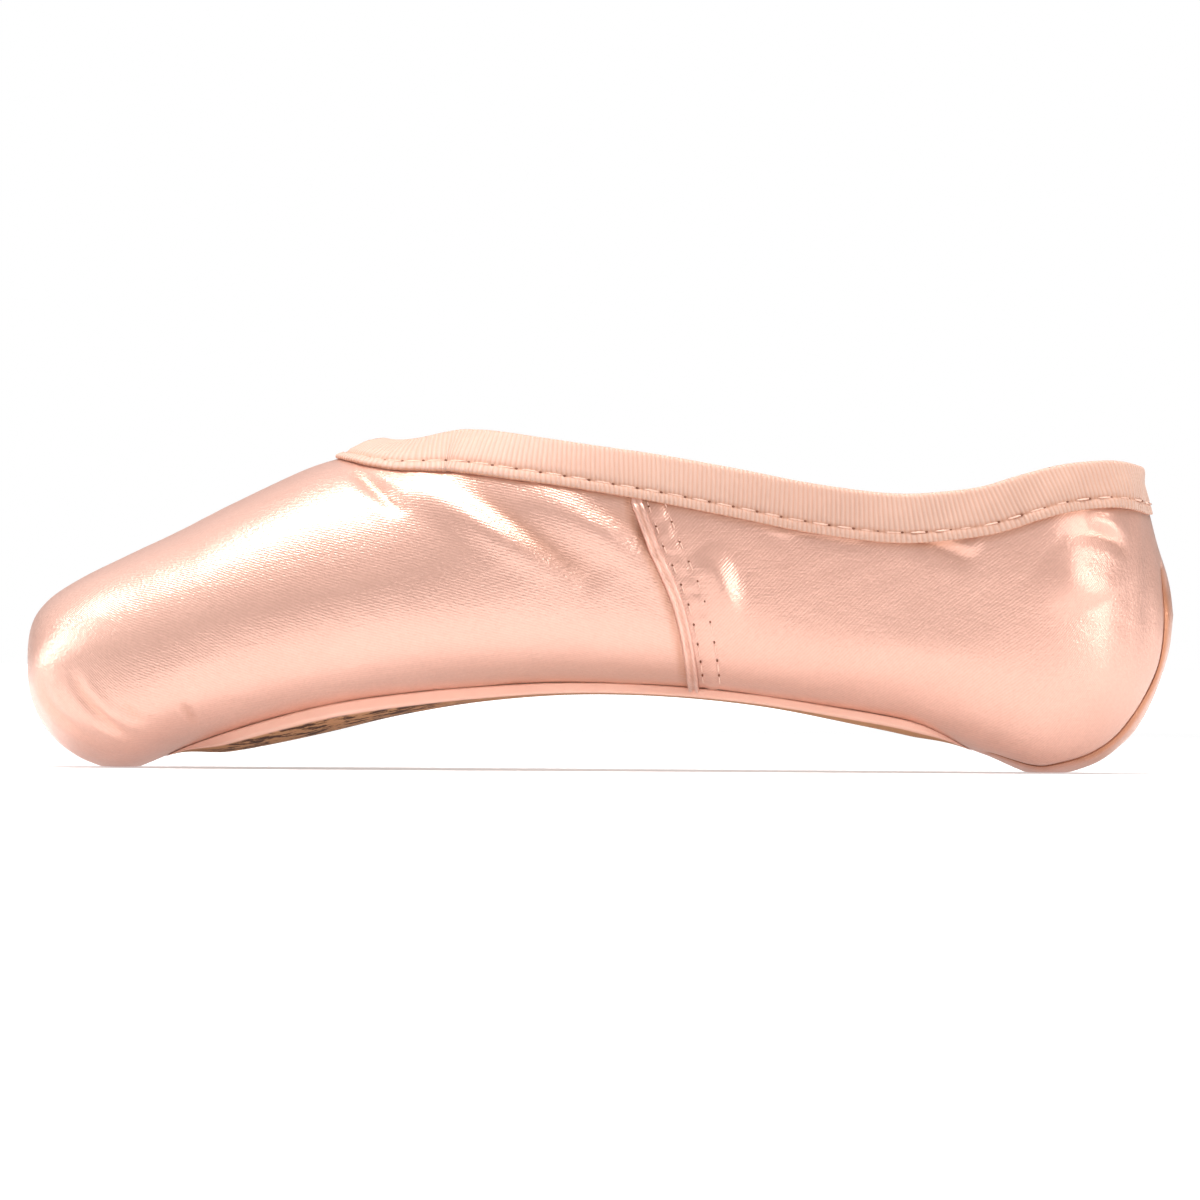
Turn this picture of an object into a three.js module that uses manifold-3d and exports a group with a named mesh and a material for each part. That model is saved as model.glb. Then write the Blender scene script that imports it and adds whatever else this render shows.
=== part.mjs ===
import * as THREE from 'three';
import { mergeVertices } from 'three/addons/utils/BufferGeometryUtils.js';
import Module from 'manifold-3d';

// Pointe shoe, millimetres. +X toward the toe, +Y the wearer's left, +Z up, floor at z = 0.

const shoeLength = 235; // toe tip to the back of the heel
const ballWidth = 78; // across the box where it is widest
const heelWidth = 52; // across the seat
const instepHeight = 69.8; // floor to the highest point of the binding
const heelHeight = 64.2; // floor to the top of the binding at the back
const archRise = 15.4; // floor to the underside of the sole at the arch
const wallThickness = 1.6; // satin, lining and paste together
const soleThickness = 2; // leather under the ball
const soleWidth = 50; // across the outsole at the ball
const soleMargin = 4; // width of the outsole lying on the satin
const insoleThickness = 1.2;
const insoleWidth = 58; // across the sock at the ball
const tapeWidth = 9.2; // binding, from its fold to its lower edge
const tapeThickness = 0.8; // one layer of the binding
const seamWidth = 2.2; // side seam ridge
const seamHeight = 0.9;
const fit = 0.35; // clearance between two curved pieces
const sockFit = 0.6; // the sock lies loose in the shoe
const standDepth = 0.6; // how much of the rounding is pressed flat where the shoe stands

// Sections of the last from the toe tip to the back of the heel.
// topAt, lowAt: where the upper and lower end of the section lie, share of the length
// top, low: heights of these ends, share of the local height
// arch: share of the arch rise under the section, sole: share of the sole's build-up
// press: share of the depth by which the rounding is pressed flat on the floor
// half: half width, share of the local width; widest: height share of the widest point
// under, over: squareness of the lower and upper half
const sections = [
  { topAt: 0.0, top: 0.282, lowAt: 0.0, low: 0.282, arch: 0, sole: 0, press: 0, half: 0, widest: 0.5, under: 2.2, over: 2.2 },
  { topAt: 0.0, top: 0.364, lowAt: 0.002, low: 0.211, arch: 0, sole: 0, press: 0, half: 0.154, widest: 0.5, under: 2.3, over: 2.3 },
  { topAt: 0.005, top: 0.432, lowAt: 0.011, low: 0.137, arch: 0, sole: 0, press: 0, half: 0.233, widest: 0.49, under: 2.3, over: 2.3 },
  { topAt: 0.019, top: 0.492, lowAt: 0.029, low: 0.063, arch: 0, sole: 0, press: 0, half: 0.29, widest: 0.48, under: 2.3, over: 2.3 },
  { topAt: 0.045, top: 0.552, lowAt: 0.055, low: 0.011, arch: 0, sole: 0, press: 0, half: 0.336, widest: 0.46, under: 2.4, over: 2.3 },
  { topAt: 0.08, top: 0.612, lowAt: 0.088, low: 0, arch: 0, sole: 0, press: 1, half: 0.379, widest: 0.44, under: 2.5, over: 2.25 },
  { topAt: 0.129, top: 0.69, lowAt: 0.134, low: 0, arch: 0.115, sole: 0.65, press: 0, half: 0.423, widest: 0.43, under: 2.4, over: 2.2 },
  { topAt: 0.185, top: 0.787, lowAt: 0.19, low: 0, arch: 0.24, sole: 0.95, press: 0, half: 0.464, widest: 0.42, under: 2.4, over: 2.15 },
  { topAt: 0.247, top: 0.885, lowAt: 0.258, low: 0, arch: 0.466, sole: 1, press: 0, half: 0.492, widest: 0.41, under: 2.5, over: 2.1 },
  { topAt: 0.306, top: 0.948, lowAt: 0.325, low: 0, arch: 0.714, sole: 1, press: 0, half: 0.5, widest: 0.4, under: 2.7, over: 2.1 },
  { topAt: 0.369, top: 1.053, lowAt: 0.395, low: 0, arch: 0.896, sole: 0.95, press: 0, half: 0.489, widest: 0.4, under: 3, over: 2.1 },
  { topAt: 0.448, top: 1.155, lowAt: 0.474, low: 0, arch: 0.995, sole: 0.87, press: 0, half: 0.471, widest: 0.41, under: 3.3, over: 2.1 },
  { topAt: 0.535, top: 1.225, lowAt: 0.557, low: 0, arch: 0.98, sole: 0.78, press: 0, half: 0.461, widest: 0.42, under: 3.6, over: 2.15 },
  { topAt: 0.623, top: 1.253, lowAt: 0.64, low: 0, arch: 0.856, sole: 0.75, press: 0, half: 0.47, widest: 0.43, under: 3.6, over: 2.2 },
  { topAt: 0.71, top: 1.261, lowAt: 0.719, low: 0, arch: 0.635, sole: 0.75, press: 0, half: 0.49, widest: 0.44, under: 3.4, over: 2.2 },
  { topAt: 0.789, top: 1.257, lowAt: 0.785, low: 0, arch: 0.42, sole: 0.7, press: 0, half: 0.504, widest: 0.44, under: 3.2, over: 2.2 },
  { topAt: 0.855, top: 1.251, lowAt: 0.837, low: 0, arch: 0.188, sole: 0.25, press: 0, half: 0.496, widest: 0.44, under: 3, over: 2.2 },
  { topAt: 0.907, top: 1.222, lowAt: 0.885, low: 0, arch: 0, sole: 0, press: 1, half: 0.469, widest: 0.44, under: 2.8, over: 2.2 },
  { topAt: 0.947, top: 1.147, lowAt: 0.929, low: 0.025, arch: 0, sole: 0, press: 0, half: 0.402, widest: 0.45, under: 2.5, over: 2.2 },
  { topAt: 0.967, top: 1.028, lowAt: 0.96, low: 0.107, arch: 0, sole: 0, press: 0, half: 0.304, widest: 0.45, under: 2.3, over: 2.2 },
  { topAt: 0.9755, top: 0.894, lowAt: 0.978, low: 0.199, arch: 0, sole: 0, press: 0, half: 0.229, widest: 0.46, under: 2.2, over: 2.2 },
  { topAt: 0.986, top: 0.742, lowAt: 0.99, low: 0.303, arch: 0, sole: 0, press: 0, half: 0.168, widest: 0.46, under: 2.1, over: 2.1 },
  { topAt: 0.996, top: 0.622, lowAt: 0.997, low: 0.401, arch: 0, sole: 0, press: 0, half: 0.096, widest: 0.47, under: 2, over: 2 },
  { topAt: 1.0, top: 0.506, lowAt: 1.0, low: 0.506, arch: 0, sole: 0, press: 0, half: 0, widest: 0.5, under: 2, over: 2 },
];

// Top of the binding as seen from the side: at, share of the length; rise, share of the local height.
const collarLine = [
  { at: 0.2, rise: 0.968 },
  { at: 0.3, rise: 0.968 },
  { at: 0.325, rise: 0.967 },
  { at: 0.343, rise: 0.974 },
  { at: 0.360, rise: 0.987 },
  { at: 0.378, rise: 0.998 },
  { at: 0.395, rise: 0.998 },
  { at: 0.413, rise: 0.993 },
  { at: 0.448, rise: 0.978 },
  { at: 0.500, rise: 0.958 },
  { at: 0.553, rise: 0.940 },
  { at: 0.623, rise: 0.910 },
  { at: 0.675, rise: 0.885 },
  { at: 0.728, rise: 0.869 },
  { at: 0.763, rise: 0.867 },
  { at: 0.798, rise: 0.881 },
  { at: 0.833, rise: 0.905 },
  { at: 0.868, rise: 0.949 },
  { at: 0.903, rise: 0.985 },
  { at: 0.938, rise: 1.000 },
  { at: 0.957, rise: 0.996 },
  { at: 0.973, rise: 0.981 },
  { at: 0.985, rise: 0.965 },
  { at: 1.05, rise: 0.9 },
];

// Outsole: half, share of half its width at the ball; skive, share of its thickness at the ball.
const soleOutline = {
  roundTip: 15,
  roundEnd: 15,
  rows: [
    { at: 0.12, half: 0.55, skive: 0.45 },
    { at: 0.16, half: 0.7, skive: 0.8 },
    { at: 0.21, half: 0.9, skive: 0.97 },
    { at: 0.27, half: 1, skive: 1 },
    { at: 0.34, half: 0.88, skive: 1 },
    { at: 0.41, half: 0.72, skive: 0.93 },
    { at: 0.49, half: 0.62, skive: 0.83 },
    { at: 0.57, half: 0.58, skive: 0.75 },
    { at: 0.65, half: 0.57, skive: 0.7 },
    { at: 0.73, half: 0.6, skive: 0.7 },
    { at: 0.79, half: 0.58, skive: 0.65 },
    { at: 0.826, half: 0.52, skive: 0.5 },
  ],
};

// Sock inside the shoe.
const insoleOutline = {
  roundTip: 24,
  roundEnd: 20,
  rows: [
    { at: 0.1, half: 0.82, skive: 1 },
    { at: 0.18, half: 0.95, skive: 1 },
    { at: 0.28, half: 1, skive: 1 },
    { at: 0.4, half: 0.9, skive: 1 },
    { at: 0.54, half: 0.72, skive: 1 },
    { at: 0.7, half: 0.63, skive: 1 },
    { at: 0.84, half: 0.57, skive: 1 },
    { at: 0.94, half: 0.48, skive: 1 },
  ],
};

// Side seam from the outsole (climb 0) up to the binding (climb 1): at, share of the length.
const seamLine = [
  { climb: 0, at: 0.582 },
  { climb: 0.25, at: 0.5785 },
  { climb: 0.5, at: 0.569 },
  { climb: 0.75, at: 0.551 },
  { climb: 1, at: 0.531 },
];

const wasm = await Module();
wasm.setup();
const { Manifold, Mesh } = wasm;

// A column of a table read at a fractional row.
function readColumn(rows, key, place) {
  const last = rows.length - 1;
  const row = Math.min(Math.max(Math.floor(place), 0), last - 1);
  const part = place - row;
  const start = rows[row][key];
  const end = rows[row + 1][key];
  const before = row > 0 ? rows[row - 1][key] : 2 * start - end;
  const after = row + 2 <= last ? rows[row + 2][key] : 2 * end - start;
  const slopeStart = (end - before) / 2;
  const slopeEnd = (after - start) / 2;
  const square = part * part;
  const cube = square * part;
  return (
    (2 * cube - 3 * square + 1) * start +
    (cube - 2 * square + part) * slopeStart +
    (3 * square - 2 * cube) * end +
    (cube - square) * slopeEnd
  );
}

// The fractional row at which a rising quantity reaches a value.
function solveRising(measure, value, low, high) {
  let bottom = low;
  let top = high;
  for (let i = 0; i < 48; i++) {
    const middle = (bottom + top) / 2;
    if (measure(middle) < value) {
      bottom = middle;
    } else {
      top = middle;
    }
  }
  return (bottom + top) / 2;
}

function readTable(rows, keyAt, at, key) {
  const place = solveRising((p) => readColumn(rows, keyAt, p), at, 0, rows.length - 1);
  return readColumn(rows, key, place);
}

function localHeight(at) {
  return THREE.MathUtils.lerp(instepHeight, heelHeight, THREE.MathUtils.smoothstep(at, 0.4, 0.95));
}

function localWidth(at) {
  return THREE.MathUtils.lerp(ballWidth, heelWidth, THREE.MathUtils.smoothstep(at, 0.35, 0.85));
}

const lastRow = sections.length - 1;
const toX = (at) => (0.5 - at) * shoeLength;
const toAt = (x) => 0.5 - x / shoeLength;

function sectionAt(place) {
  const read = (key) => readColumn(sections, key, place);
  const topAt = read('topAt');
  const lowAt = read('lowAt');
  const build = read('sole') * (soleThickness + fit) - read('press') * standDepth;
  const rise = read('arch') * archRise + build;
  return {
    topX: toX(topAt),
    topZ: read('top') * localHeight(topAt),
    lowX: toX(lowAt),
    lowZ: read('low') * localHeight(lowAt) + rise,
    half: Math.max(read('half'), 0) * localWidth((topAt + lowAt) / 2),
    widest: read('widest'),
    under: read('under'),
    over: read('over'),
  };
}

// A point on the last; turn runs from 0 under the shoe over its left side to PI on top.
function lastPoint(place, turn) {
  const section = sectionAt(place);
  const sine = Math.sin(turn);
  const cosine = Math.cos(turn);
  const power = cosine > 0 ? section.under : section.over;
  const radius = (Math.abs(sine) ** power + Math.abs(cosine) ** power) ** (-1 / power);
  const reach = cosine > 0 ? section.widest : 1 - section.widest;
  const climb = section.widest - radius * cosine * reach;
  return new THREE.Vector3(
    THREE.MathUtils.lerp(section.lowX, section.topX, climb),
    section.half * radius * sine,
    THREE.MathUtils.lerp(section.lowZ, section.topZ, climb),
  );
}

function lastSlopes(place, turn) {
  const step = 1e-3;
  const fore = Math.max(place - step, 0);
  const aft = Math.min(place + step, lastRow);
  const along = lastPoint(aft, turn).sub(lastPoint(fore, turn)).divideScalar(aft - fore);
  const around = lastPoint(place, turn + step).sub(lastPoint(place, turn - step)).divideScalar(2 * step);
  return { along, around };
}

function lastNormal(place, turn) {
  if (place < 1e-6) return new THREE.Vector3(1, 0, 0);
  if (place > lastRow - 1e-6) return new THREE.Vector3(-1, 0, 0);
  const { along, around } = lastSlopes(place, turn);
  return new THREE.Vector3().crossVectors(along, around).normalize();
}

// A point off the last: out is positive away from the foot.
function skin(place, turn, out) {
  return lastPoint(place, turn).addScaledVector(lastNormal(place, turn), out);
}

// The turn at which the underside lies a given distance off the middle.
function turnUnder(place, off) {
  const side = Math.sign(off);
  const turn = solveRising((t) => lastPoint(place, t).y, Math.abs(off), 0, Math.PI / 2);
  return side * turn;
}

// The fractional row whose point at a given turn lies at a given share of the length.
function placeAt(at, turn) {
  return solveRising((p) => toAt(lastPoint(p, turn).x), at, 0, lastRow);
}

// One step over the surface of the last in a given direction; the direction is kept on the surface.
function stepOver(spot, heading, length) {
  const normal = lastNormal(spot.place, spot.turn);
  heading.addScaledVector(normal, -heading.dot(normal)).normalize();
  const { along, around } = lastSlopes(spot.place, spot.turn);
  const aa = along.dot(along);
  const ab = along.dot(around);
  const bb = around.dot(around);
  const ra = along.dot(heading) * length;
  const rb = around.dot(heading) * length;
  const det = aa * bb - ab * ab;
  return { place: spot.place + (ra * bb - rb * ab) / det, turn: spot.turn + (rb * aa - ra * ab) / det };
}

function walkOver(spot, direction, length) {
  const count = Math.max(1, Math.ceil(Math.abs(length) / 0.8));
  const heading = direction.clone();
  let here = { ...spot };
  for (let i = 0; i < count; i++) {
    here = stepOver(here, heading, length / count);
  }
  return here;
}

// A closed body from points and triangles, turned so that it faces out.
function makeBody(points, triangles) {
  let volume = 0;
  for (const [a, b, c] of triangles) {
    volume += points[a].dot(new THREE.Vector3().crossVectors(points[b], points[c]));
  }
  const index = volume > 0 ? triangles.flat() : triangles.flatMap(([a, b, c]) => [a, c, b]);
  const geometry = new THREE.BufferGeometry();
  geometry.setAttribute('position', new THREE.Float32BufferAttribute(points.flatMap((p) => p.toArray()), 3));
  geometry.setIndex(index);
  return geometry;
}

function toSolid(geometry) {
  const mesh = new Mesh({
    numProp: 3,
    vertProperties: new Float32Array(geometry.getAttribute('position').array),
    triVerts: new Uint32Array(geometry.getIndex().array),
  });
  return new Manifold(mesh);
}

function toGeometry(solid) {
  const mesh = solid.getMesh();
  const geometry = new THREE.BufferGeometry();
  const stride = mesh.numProp;
  const positions = [];
  for (let i = 0; i < mesh.vertProperties.length; i += stride) {
    positions.push(...mesh.vertProperties.slice(i, i + 3));
  }
  geometry.setAttribute('position', new THREE.Float32BufferAttribute(positions, 3));
  geometry.setIndex([...mesh.triVerts]);
  return geometry;
}

// Two triangles for each cell between two rings of points.
function bridge(triangles, first, second, count, closed) {
  const cells = closed ? count : count - 1;
  for (let j = 0; j < cells; j++) {
    const k = (j + 1) % count;
    triangles.push([first + j, second + j, second + k], [first + j, second + k, first + k]);
  }
}

// Where the rings of the last lie: closer where it turns sharply along its length.
const ringZones = [
  { upTo: 6, perRow: 2 },
  { upTo: 8, perRow: 1.4 },
  { upTo: 11, perRow: 2 },
  { upTo: 17, perRow: 1.2 },
  { upTo: 23, perRow: 2 },
];

function ringPlaces() {
  const places = [];
  let here = 0;
  for (const zone of ringZones) {
    while (here < zone.upTo - 0.6 / zone.perRow) {
      here += 1 / zone.perRow;
      places.push(Math.min(here, lastRow - 0.5 / zone.perRow));
    }
  }
  return places;
}

// The whole last, grown or shrunk.
function lastBody(out) {
  const around = 40;
  const places = ringPlaces();
  const points = [skin(0, 0, out)];
  for (const place of places) {
    for (let j = 0; j < around; j++) points.push(skin(place, (j / around) * 2 * Math.PI, out));
  }
  points.push(skin(lastRow, 0, out));
  const triangles = [];
  for (let j = 0; j < around; j++) {
    const k = (j + 1) % around;
    const tail = 1 + (places.length - 1) * around;
    triangles.push([0, 1 + j, 1 + k]);
    triangles.push([points.length - 1, tail + k, tail + j]);
  }
  for (let i = 0; i + 1 < places.length; i++) bridge(triangles, 1 + i * around, 1 + (i + 1) * around, around, true);
  return makeBody(points, triangles);
}

// A pad that follows the underside of the last between two distances from it.
function padBody(outline, width, options) {
  const { inset, lower, upper, lengthwise, across } = options;
  const first = outline.rows[0].at + inset / shoeLength;
  const end = outline.rows.at(-1).at - inset / shoeLength;
  const lay = (edge) => {
    const points = [];
    for (let i = 0; i <= lengthwise; i++) {
      const at = first + (end - first) * (0.5 - 0.5 * Math.cos((i / lengthwise) * Math.PI));
      const toTip = Math.min(((at - first) * shoeLength) / (outline.roundTip - inset), 1);
      const toEnd = Math.min(((end - at) * shoeLength) / (outline.roundEnd - inset), 1);
      const rounding = Math.sqrt((1 - (1 - toTip) ** 2) * (1 - (1 - toEnd) ** 2));
      const half = readTable(outline.rows, 'at', at, 'half') * (width / 2) - inset;
      const reach = half * Math.max(rounding, 0.16);
      const place = solveRising((p) => readColumn(sections, 'lowAt', p), at, 0, lastRow);
      for (let j = 0; j < across; j++) {
        const off = reach * Math.sin(((2 * j) / (across - 1) - 1) * (Math.PI / 2));
        points.push(skin(place, turnUnder(place, off), edge(readTable(outline.rows, 'at', at, 'skive'))));
      }
    }
    return points;
  };
  const top = lay(upper);
  const bottom = lay(lower);
  const triangles = [];
  const size = top.length;
  const rows = lengthwise + 1;
  for (let i = 0; i < lengthwise; i++) {
    bridge(triangles, i * across, (i + 1) * across, across, false);
    const under = [];
    bridge(under, size + i * across, size + (i + 1) * across, across, false);
    for (const [a, b, c] of under) triangles.push([a, c, b]);
    for (const side of [0, across - 1]) {
      const a = i * across + side;
      const b = a + across;
      const wall = [[a, size + a, size + b], [a, size + b, b]];
      for (const [p, q, r] of wall) triangles.push(side === 0 ? [p, q, r] : [p, r, q]);
    }
  }
  for (const row of [0, rows - 1]) {
    for (let j = 0; j + 1 < across; j++) {
      const a = row * across + j;
      const b = a + 1;
      const wall = [[a, b, size + b], [a, size + b, size + a]];
      for (const [p, q, r] of wall) triangles.push(row === 0 ? [p, q, r] : [p, r, q]);
    }
  }
  return makeBody(top.concat(bottom), triangles);
}

// Section of the binding, a folded tape over the collar edge: drop from the edge and distance off the last.
const innerFace = -wallThickness - fit;
const innerBack = innerFace - tapeThickness;
const tapeSection = [
  [tapeWidth, fit],
  [tapeWidth, fit + tapeThickness],
  [tapeWidth * 0.5, fit + tapeThickness],
  [0, fit + tapeThickness],
  [-fit - tapeThickness * 0.7, fit + tapeThickness * 0.3],
  [-fit - tapeThickness, -wallThickness / 2],
  [-fit - tapeThickness * 0.7, innerFace - tapeThickness * 0.3],
  [0, innerBack],
  [tapeWidth * 0.5, innerBack],
  [tapeWidth, innerBack],
  [tapeWidth, innerFace],
  [tapeWidth * 0.5, innerFace],
  [0, innerFace],
  [-fit, innerFace + fit],
  [-fit, 0],
  [0, fit],
  [tapeWidth * 0.5, fit],
];

const collarHeart = { place: placeAt(0.62, Math.PI), turn: Math.PI };

// How far the binding stands above the edge of a wall with a given lean.
function tapeRise(normal) {
  const level = Math.sqrt(Math.max(1 - normal.z ** 2, 0));
  return Math.max(...tapeSection.map(([drop, out]) => (drop <= 0 ? out * normal.z - drop * level : 0)));
}

// Height of a point of the last over the edge of the upper.
function aboveCollar(place, turn) {
  const point = lastPoint(place, turn);
  const line = readTable(collarLine, 'at', toAt(point.x), 'rise') * localHeight(toAt(point.x));
  return point.z + tapeRise(lastNormal(place, turn)) - line;
}

function collarSpot(angle, share) {
  const foreAft = angle < Math.PI / 2 ? collarHeart.place - 4 : lastRow - 1 - collarHeart.place;
  return {
    place: collarHeart.place - Math.cos(angle) * foreAft * share,
    turn: collarHeart.turn - Math.sin(angle) * (Math.PI / 2) * share,
  };
}

function collarReach(angle) {
  let inside = 0;
  let outside = 1;
  for (let i = 0; i < 40; i++) {
    const middle = (inside + outside) / 2;
    const spot = collarSpot(angle, middle);
    if (aboveCollar(spot.place, spot.turn) > 0) {
      inside = middle;
    } else {
      outside = middle;
    }
  }
  return (inside + outside) / 2;
}

// The left half of the collar edge, closer spaced at throat and heel; the right half mirrors it.
function collarHalf(count) {
  const fine = [];
  for (let i = 0; i <= 400; i++) {
    const angle = (i / 400) * Math.PI;
    fine.push({ angle, share: collarReach(angle), travel: 0 });
  }
  for (let i = 1; i < fine.length; i++) {
    const a = collarSpot(fine[i - 1].angle, fine[i - 1].share);
    const b = collarSpot(fine[i].angle, fine[i].share);
    fine[i].travel = fine[i - 1].travel + lastPoint(a.place, a.turn).distanceTo(lastPoint(b.place, b.turn));
  }
  const spots = [];
  for (let k = 0; k <= count; k++) {
    const share = k / count;
    const travel = (share - (0.5 * Math.sin(2 * Math.PI * share)) / (2 * Math.PI)) * fine.at(-1).travel;
    const i = Math.max(1, fine.findIndex((entry) => entry.travel >= travel - 1e-9));
    const part = (travel - fine[i - 1].travel) / (fine[i].travel - fine[i - 1].travel);
    const angle = THREE.MathUtils.lerp(fine[i - 1].angle, fine[i].angle, part);
    spots.push({ angle, share: collarReach(angle) });
  }
  return spots;
}

const collarCount = 32;
const collarEdge = collarHalf(collarCount);
const collarLoop = [
  ...collarEdge.map((spot) => ({ ...spot, side: 1 })),
  ...collarEdge.slice(1, -1).reverse().map((spot) => ({ ...spot, side: -1 })),
];

function loopSpot(entry, scale) {
  const spot = collarSpot(entry.angle, entry.share * scale);
  return entry.side > 0 ? spot : { place: spot.place, turn: 2 * Math.PI - spot.turn };
}

// Everything above the collar edge, cut square through the wall.
function collarCut() {
  const rings = 9;
  const count = collarLoop.length;
  const points = [];
  const layer = (out) => {
    points.push(skin(collarHeart.place, collarHeart.turn, out));
    for (let i = 1; i <= rings; i++) {
      for (const entry of collarLoop) {
        const spot = loopSpot(entry, i / rings);
        points.push(skin(spot.place, spot.turn, out));
      }
    }
  };
  layer(4);
  const size = points.length;
  layer(-wallThickness - 5);
  const triangles = [];
  for (let j = 0; j < count; j++) {
    const k = (j + 1) % count;
    triangles.push([0, 1 + j, 1 + k], [size, size + 1 + k, size + 1 + j]);
  }
  for (let i = 0; i + 1 < rings; i++) {
    bridge(triangles, 1 + i * count, 1 + (i + 1) * count, count, true);
    const under = [];
    bridge(under, size + 1 + i * count, size + 1 + (i + 1) * count, count, true);
    for (const [a, b, c] of under) triangles.push([a, c, b]);
  }
  bridge(triangles, 1 + (rings - 1) * count, size + 1 + (rings - 1) * count, count, true);
  return makeBody(points, triangles);
}

function edgeFrame(index) {
  const count = collarLoop.length;
  const spot = loopSpot(collarLoop[index], 1);
  const before = loopSpot(collarLoop[(index + count - 1) % count], 1);
  const after = loopSpot(collarLoop[(index + 1) % count], 1);
  const run = lastPoint(after.place, after.turn).sub(lastPoint(before.place, before.turn)).normalize();
  const normal = lastNormal(spot.place, spot.turn);
  const down = new THREE.Vector3().crossVectors(run, normal).normalize();
  const toHeart = lastPoint(collarHeart.place, collarHeart.turn).sub(lastPoint(spot.place, spot.turn));
  if (down.dot(toHeart) > 0) down.negate();
  return { spot, down };
}

function bindingBody() {
  const points = [];
  for (let i = 0; i < collarLoop.length; i++) {
    const { spot, down } = edgeFrame(i);
    for (const [drop, out] of tapeSection) {
      if (drop <= 0) {
        points.push(skin(spot.place, spot.turn, out).addScaledVector(down, drop));
      } else {
        const there = walkOver(spot, down, drop);
        points.push(skin(there.place, there.turn, out));
      }
    }
  }
  const triangles = [];
  const size = tapeSection.length;
  for (let i = 0; i < collarLoop.length; i++) {
    bridge(triangles, i * size, ((i + 1) % collarLoop.length) * size, size, true);
  }
  return makeBody(points, triangles);
}

// Height of the lower edge of the binding on the left side, at a share of the length.
function tapeLowerEdge(at) {
  const points = collarEdge.map((entry, index) => {
    const { spot, down } = edgeFrame(index);
    const there = walkOver(spot, down, tapeWidth);
    return skin(there.place, there.turn, fit);
  });
  const after = Math.max(1, points.findIndex((point) => toAt(point.x) > at));
  const [a, b] = [points[after - 1], points[after]];
  return THREE.MathUtils.lerp(a.z, b.z, (toX(at) - a.x) / (b.x - a.x));
}

// Side seam: a low ridge from the outsole to the binding.
function seamSpot(climb, bottomTurn, topTurn) {
  const turn = THREE.MathUtils.lerp(bottomTurn, topTurn, climb);
  return { place: placeAt(readTable(seamLine, 'climb', climb, 'at'), turn), turn };
}

function seamBody(side) {
  const soleAt = seamLine[0].at;
  const solePlace = solveRising((p) => readColumn(sections, 'lowAt', p), soleAt, 0, lastRow);
  const soleHalf = readTable(soleOutline.rows, 'at', soleAt, 'half') * (soleWidth / 2);
  const bottomTurn = turnUnder(solePlace, soleHalf + fit * 3);
  const topAt = seamLine.at(-1).at;
  const topHeight = tapeLowerEdge(topAt) - fit - seamWidth * 0.3;
  const topTurn = solveRising((t) => lastPoint(placeAt(topAt, t), t).z, topHeight, Math.PI / 2 - 0.3, Math.PI * 0.8);
  const profile = [
    [-0.5, fit],
    [0.5, fit],
    [0.5, fit + seamHeight * 0.7],
    [0.3, fit + seamHeight],
    [0, fit + seamHeight * 0.55],
    [-0.3, fit + seamHeight],
    [-0.5, fit + seamHeight * 0.7],
  ];
  const points = [];
  const steps = 11;
  for (let i = 0; i <= steps; i++) {
    const spot = seamSpot(i / steps, bottomTurn, topTurn);
    const ahead = seamSpot(i / steps + 0.01, bottomTurn, topTurn);
    const run = lastPoint(ahead.place, ahead.turn).sub(lastPoint(spot.place, spot.turn)).normalize();
    const across = new THREE.Vector3().crossVectors(run, lastNormal(spot.place, spot.turn)).normalize();
    for (const [share, out] of profile) {
      const there = walkOver(spot, across, share * seamWidth);
      const point = skin(there.place, there.turn, out);
      points.push(new THREE.Vector3(point.x, point.y * side, point.z));
    }
  }
  const size = profile.length;
  const triangles = [];
  for (let i = 0; i < steps; i++) bridge(triangles, i * size, (i + 1) * size, size, true);
  for (let j = 1; j + 1 < size; j++) {
    triangles.push([0, j, j + 1]);
    triangles.push([steps * size, steps * size + j + 1, steps * size + j]);
  }
  return makeBody(points, triangles);
}

// Upper: a hollow wall, open at the collar and over the outsole, flat where it stands.
function upperBody() {
  const outer = toSolid(lastBody(0));
  const inner = toSolid(lastBody(-wallThickness));
  const soleHole = toSolid(
    padBody(soleOutline, soleWidth, {
      inset: soleMargin,
      lower: () => 3,
      upper: () => -wallThickness - 3,
      lengthwise: 28,
      across: 9,
    }),
  );
  const block = new THREE.BoxGeometry(shoeLength * 1.2, ballWidth * 1.2, 20);
  block.deleteAttribute('normal');
  block.deleteAttribute('uv');
  const floor = mergeVertices(block.translate(0, 0, -10));
  const shell = outer.subtract(inner);
  return toGeometry(shell.subtract(toSolid(collarCut())).subtract(soleHole).subtract(toSolid(floor)));
}

// Outsole: the leather and the part of it that fills the hole in the upper.
function outsoleBody() {
  const leather = padBody(soleOutline, soleWidth, {
    inset: 0,
    lower: (skive) => fit + soleThickness * skive,
    upper: () => fit,
    lengthwise: 28,
    across: 8,
  });
  const filling = padBody(soleOutline, soleWidth, {
    inset: soleMargin + fit,
    lower: (skive) => fit + soleThickness * skive * 0.5,
    upper: () => -wallThickness,
    lengthwise: 20,
    across: 7,
  });
  return toGeometry(toSolid(leather).add(toSolid(filling)));
}

function insoleBody() {
  return padBody(insoleOutline, insoleWidth, {
    inset: 0,
    lower: () => -wallThickness - sockFit,
    upper: () => -wallThickness - sockFit - insoleThickness,
    lengthwise: 25,
    across: 7,
  });
}

const group = new THREE.Group();
group.name = 'pointe_shoe';

function addPart(name, geometry, color, roughness) {
  const material = new THREE.MeshStandardMaterial({ color, roughness, metalness: 0 });
  const mesh = new THREE.Mesh(geometry, material);
  mesh.name = name;
  group.add(mesh);
}

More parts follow.
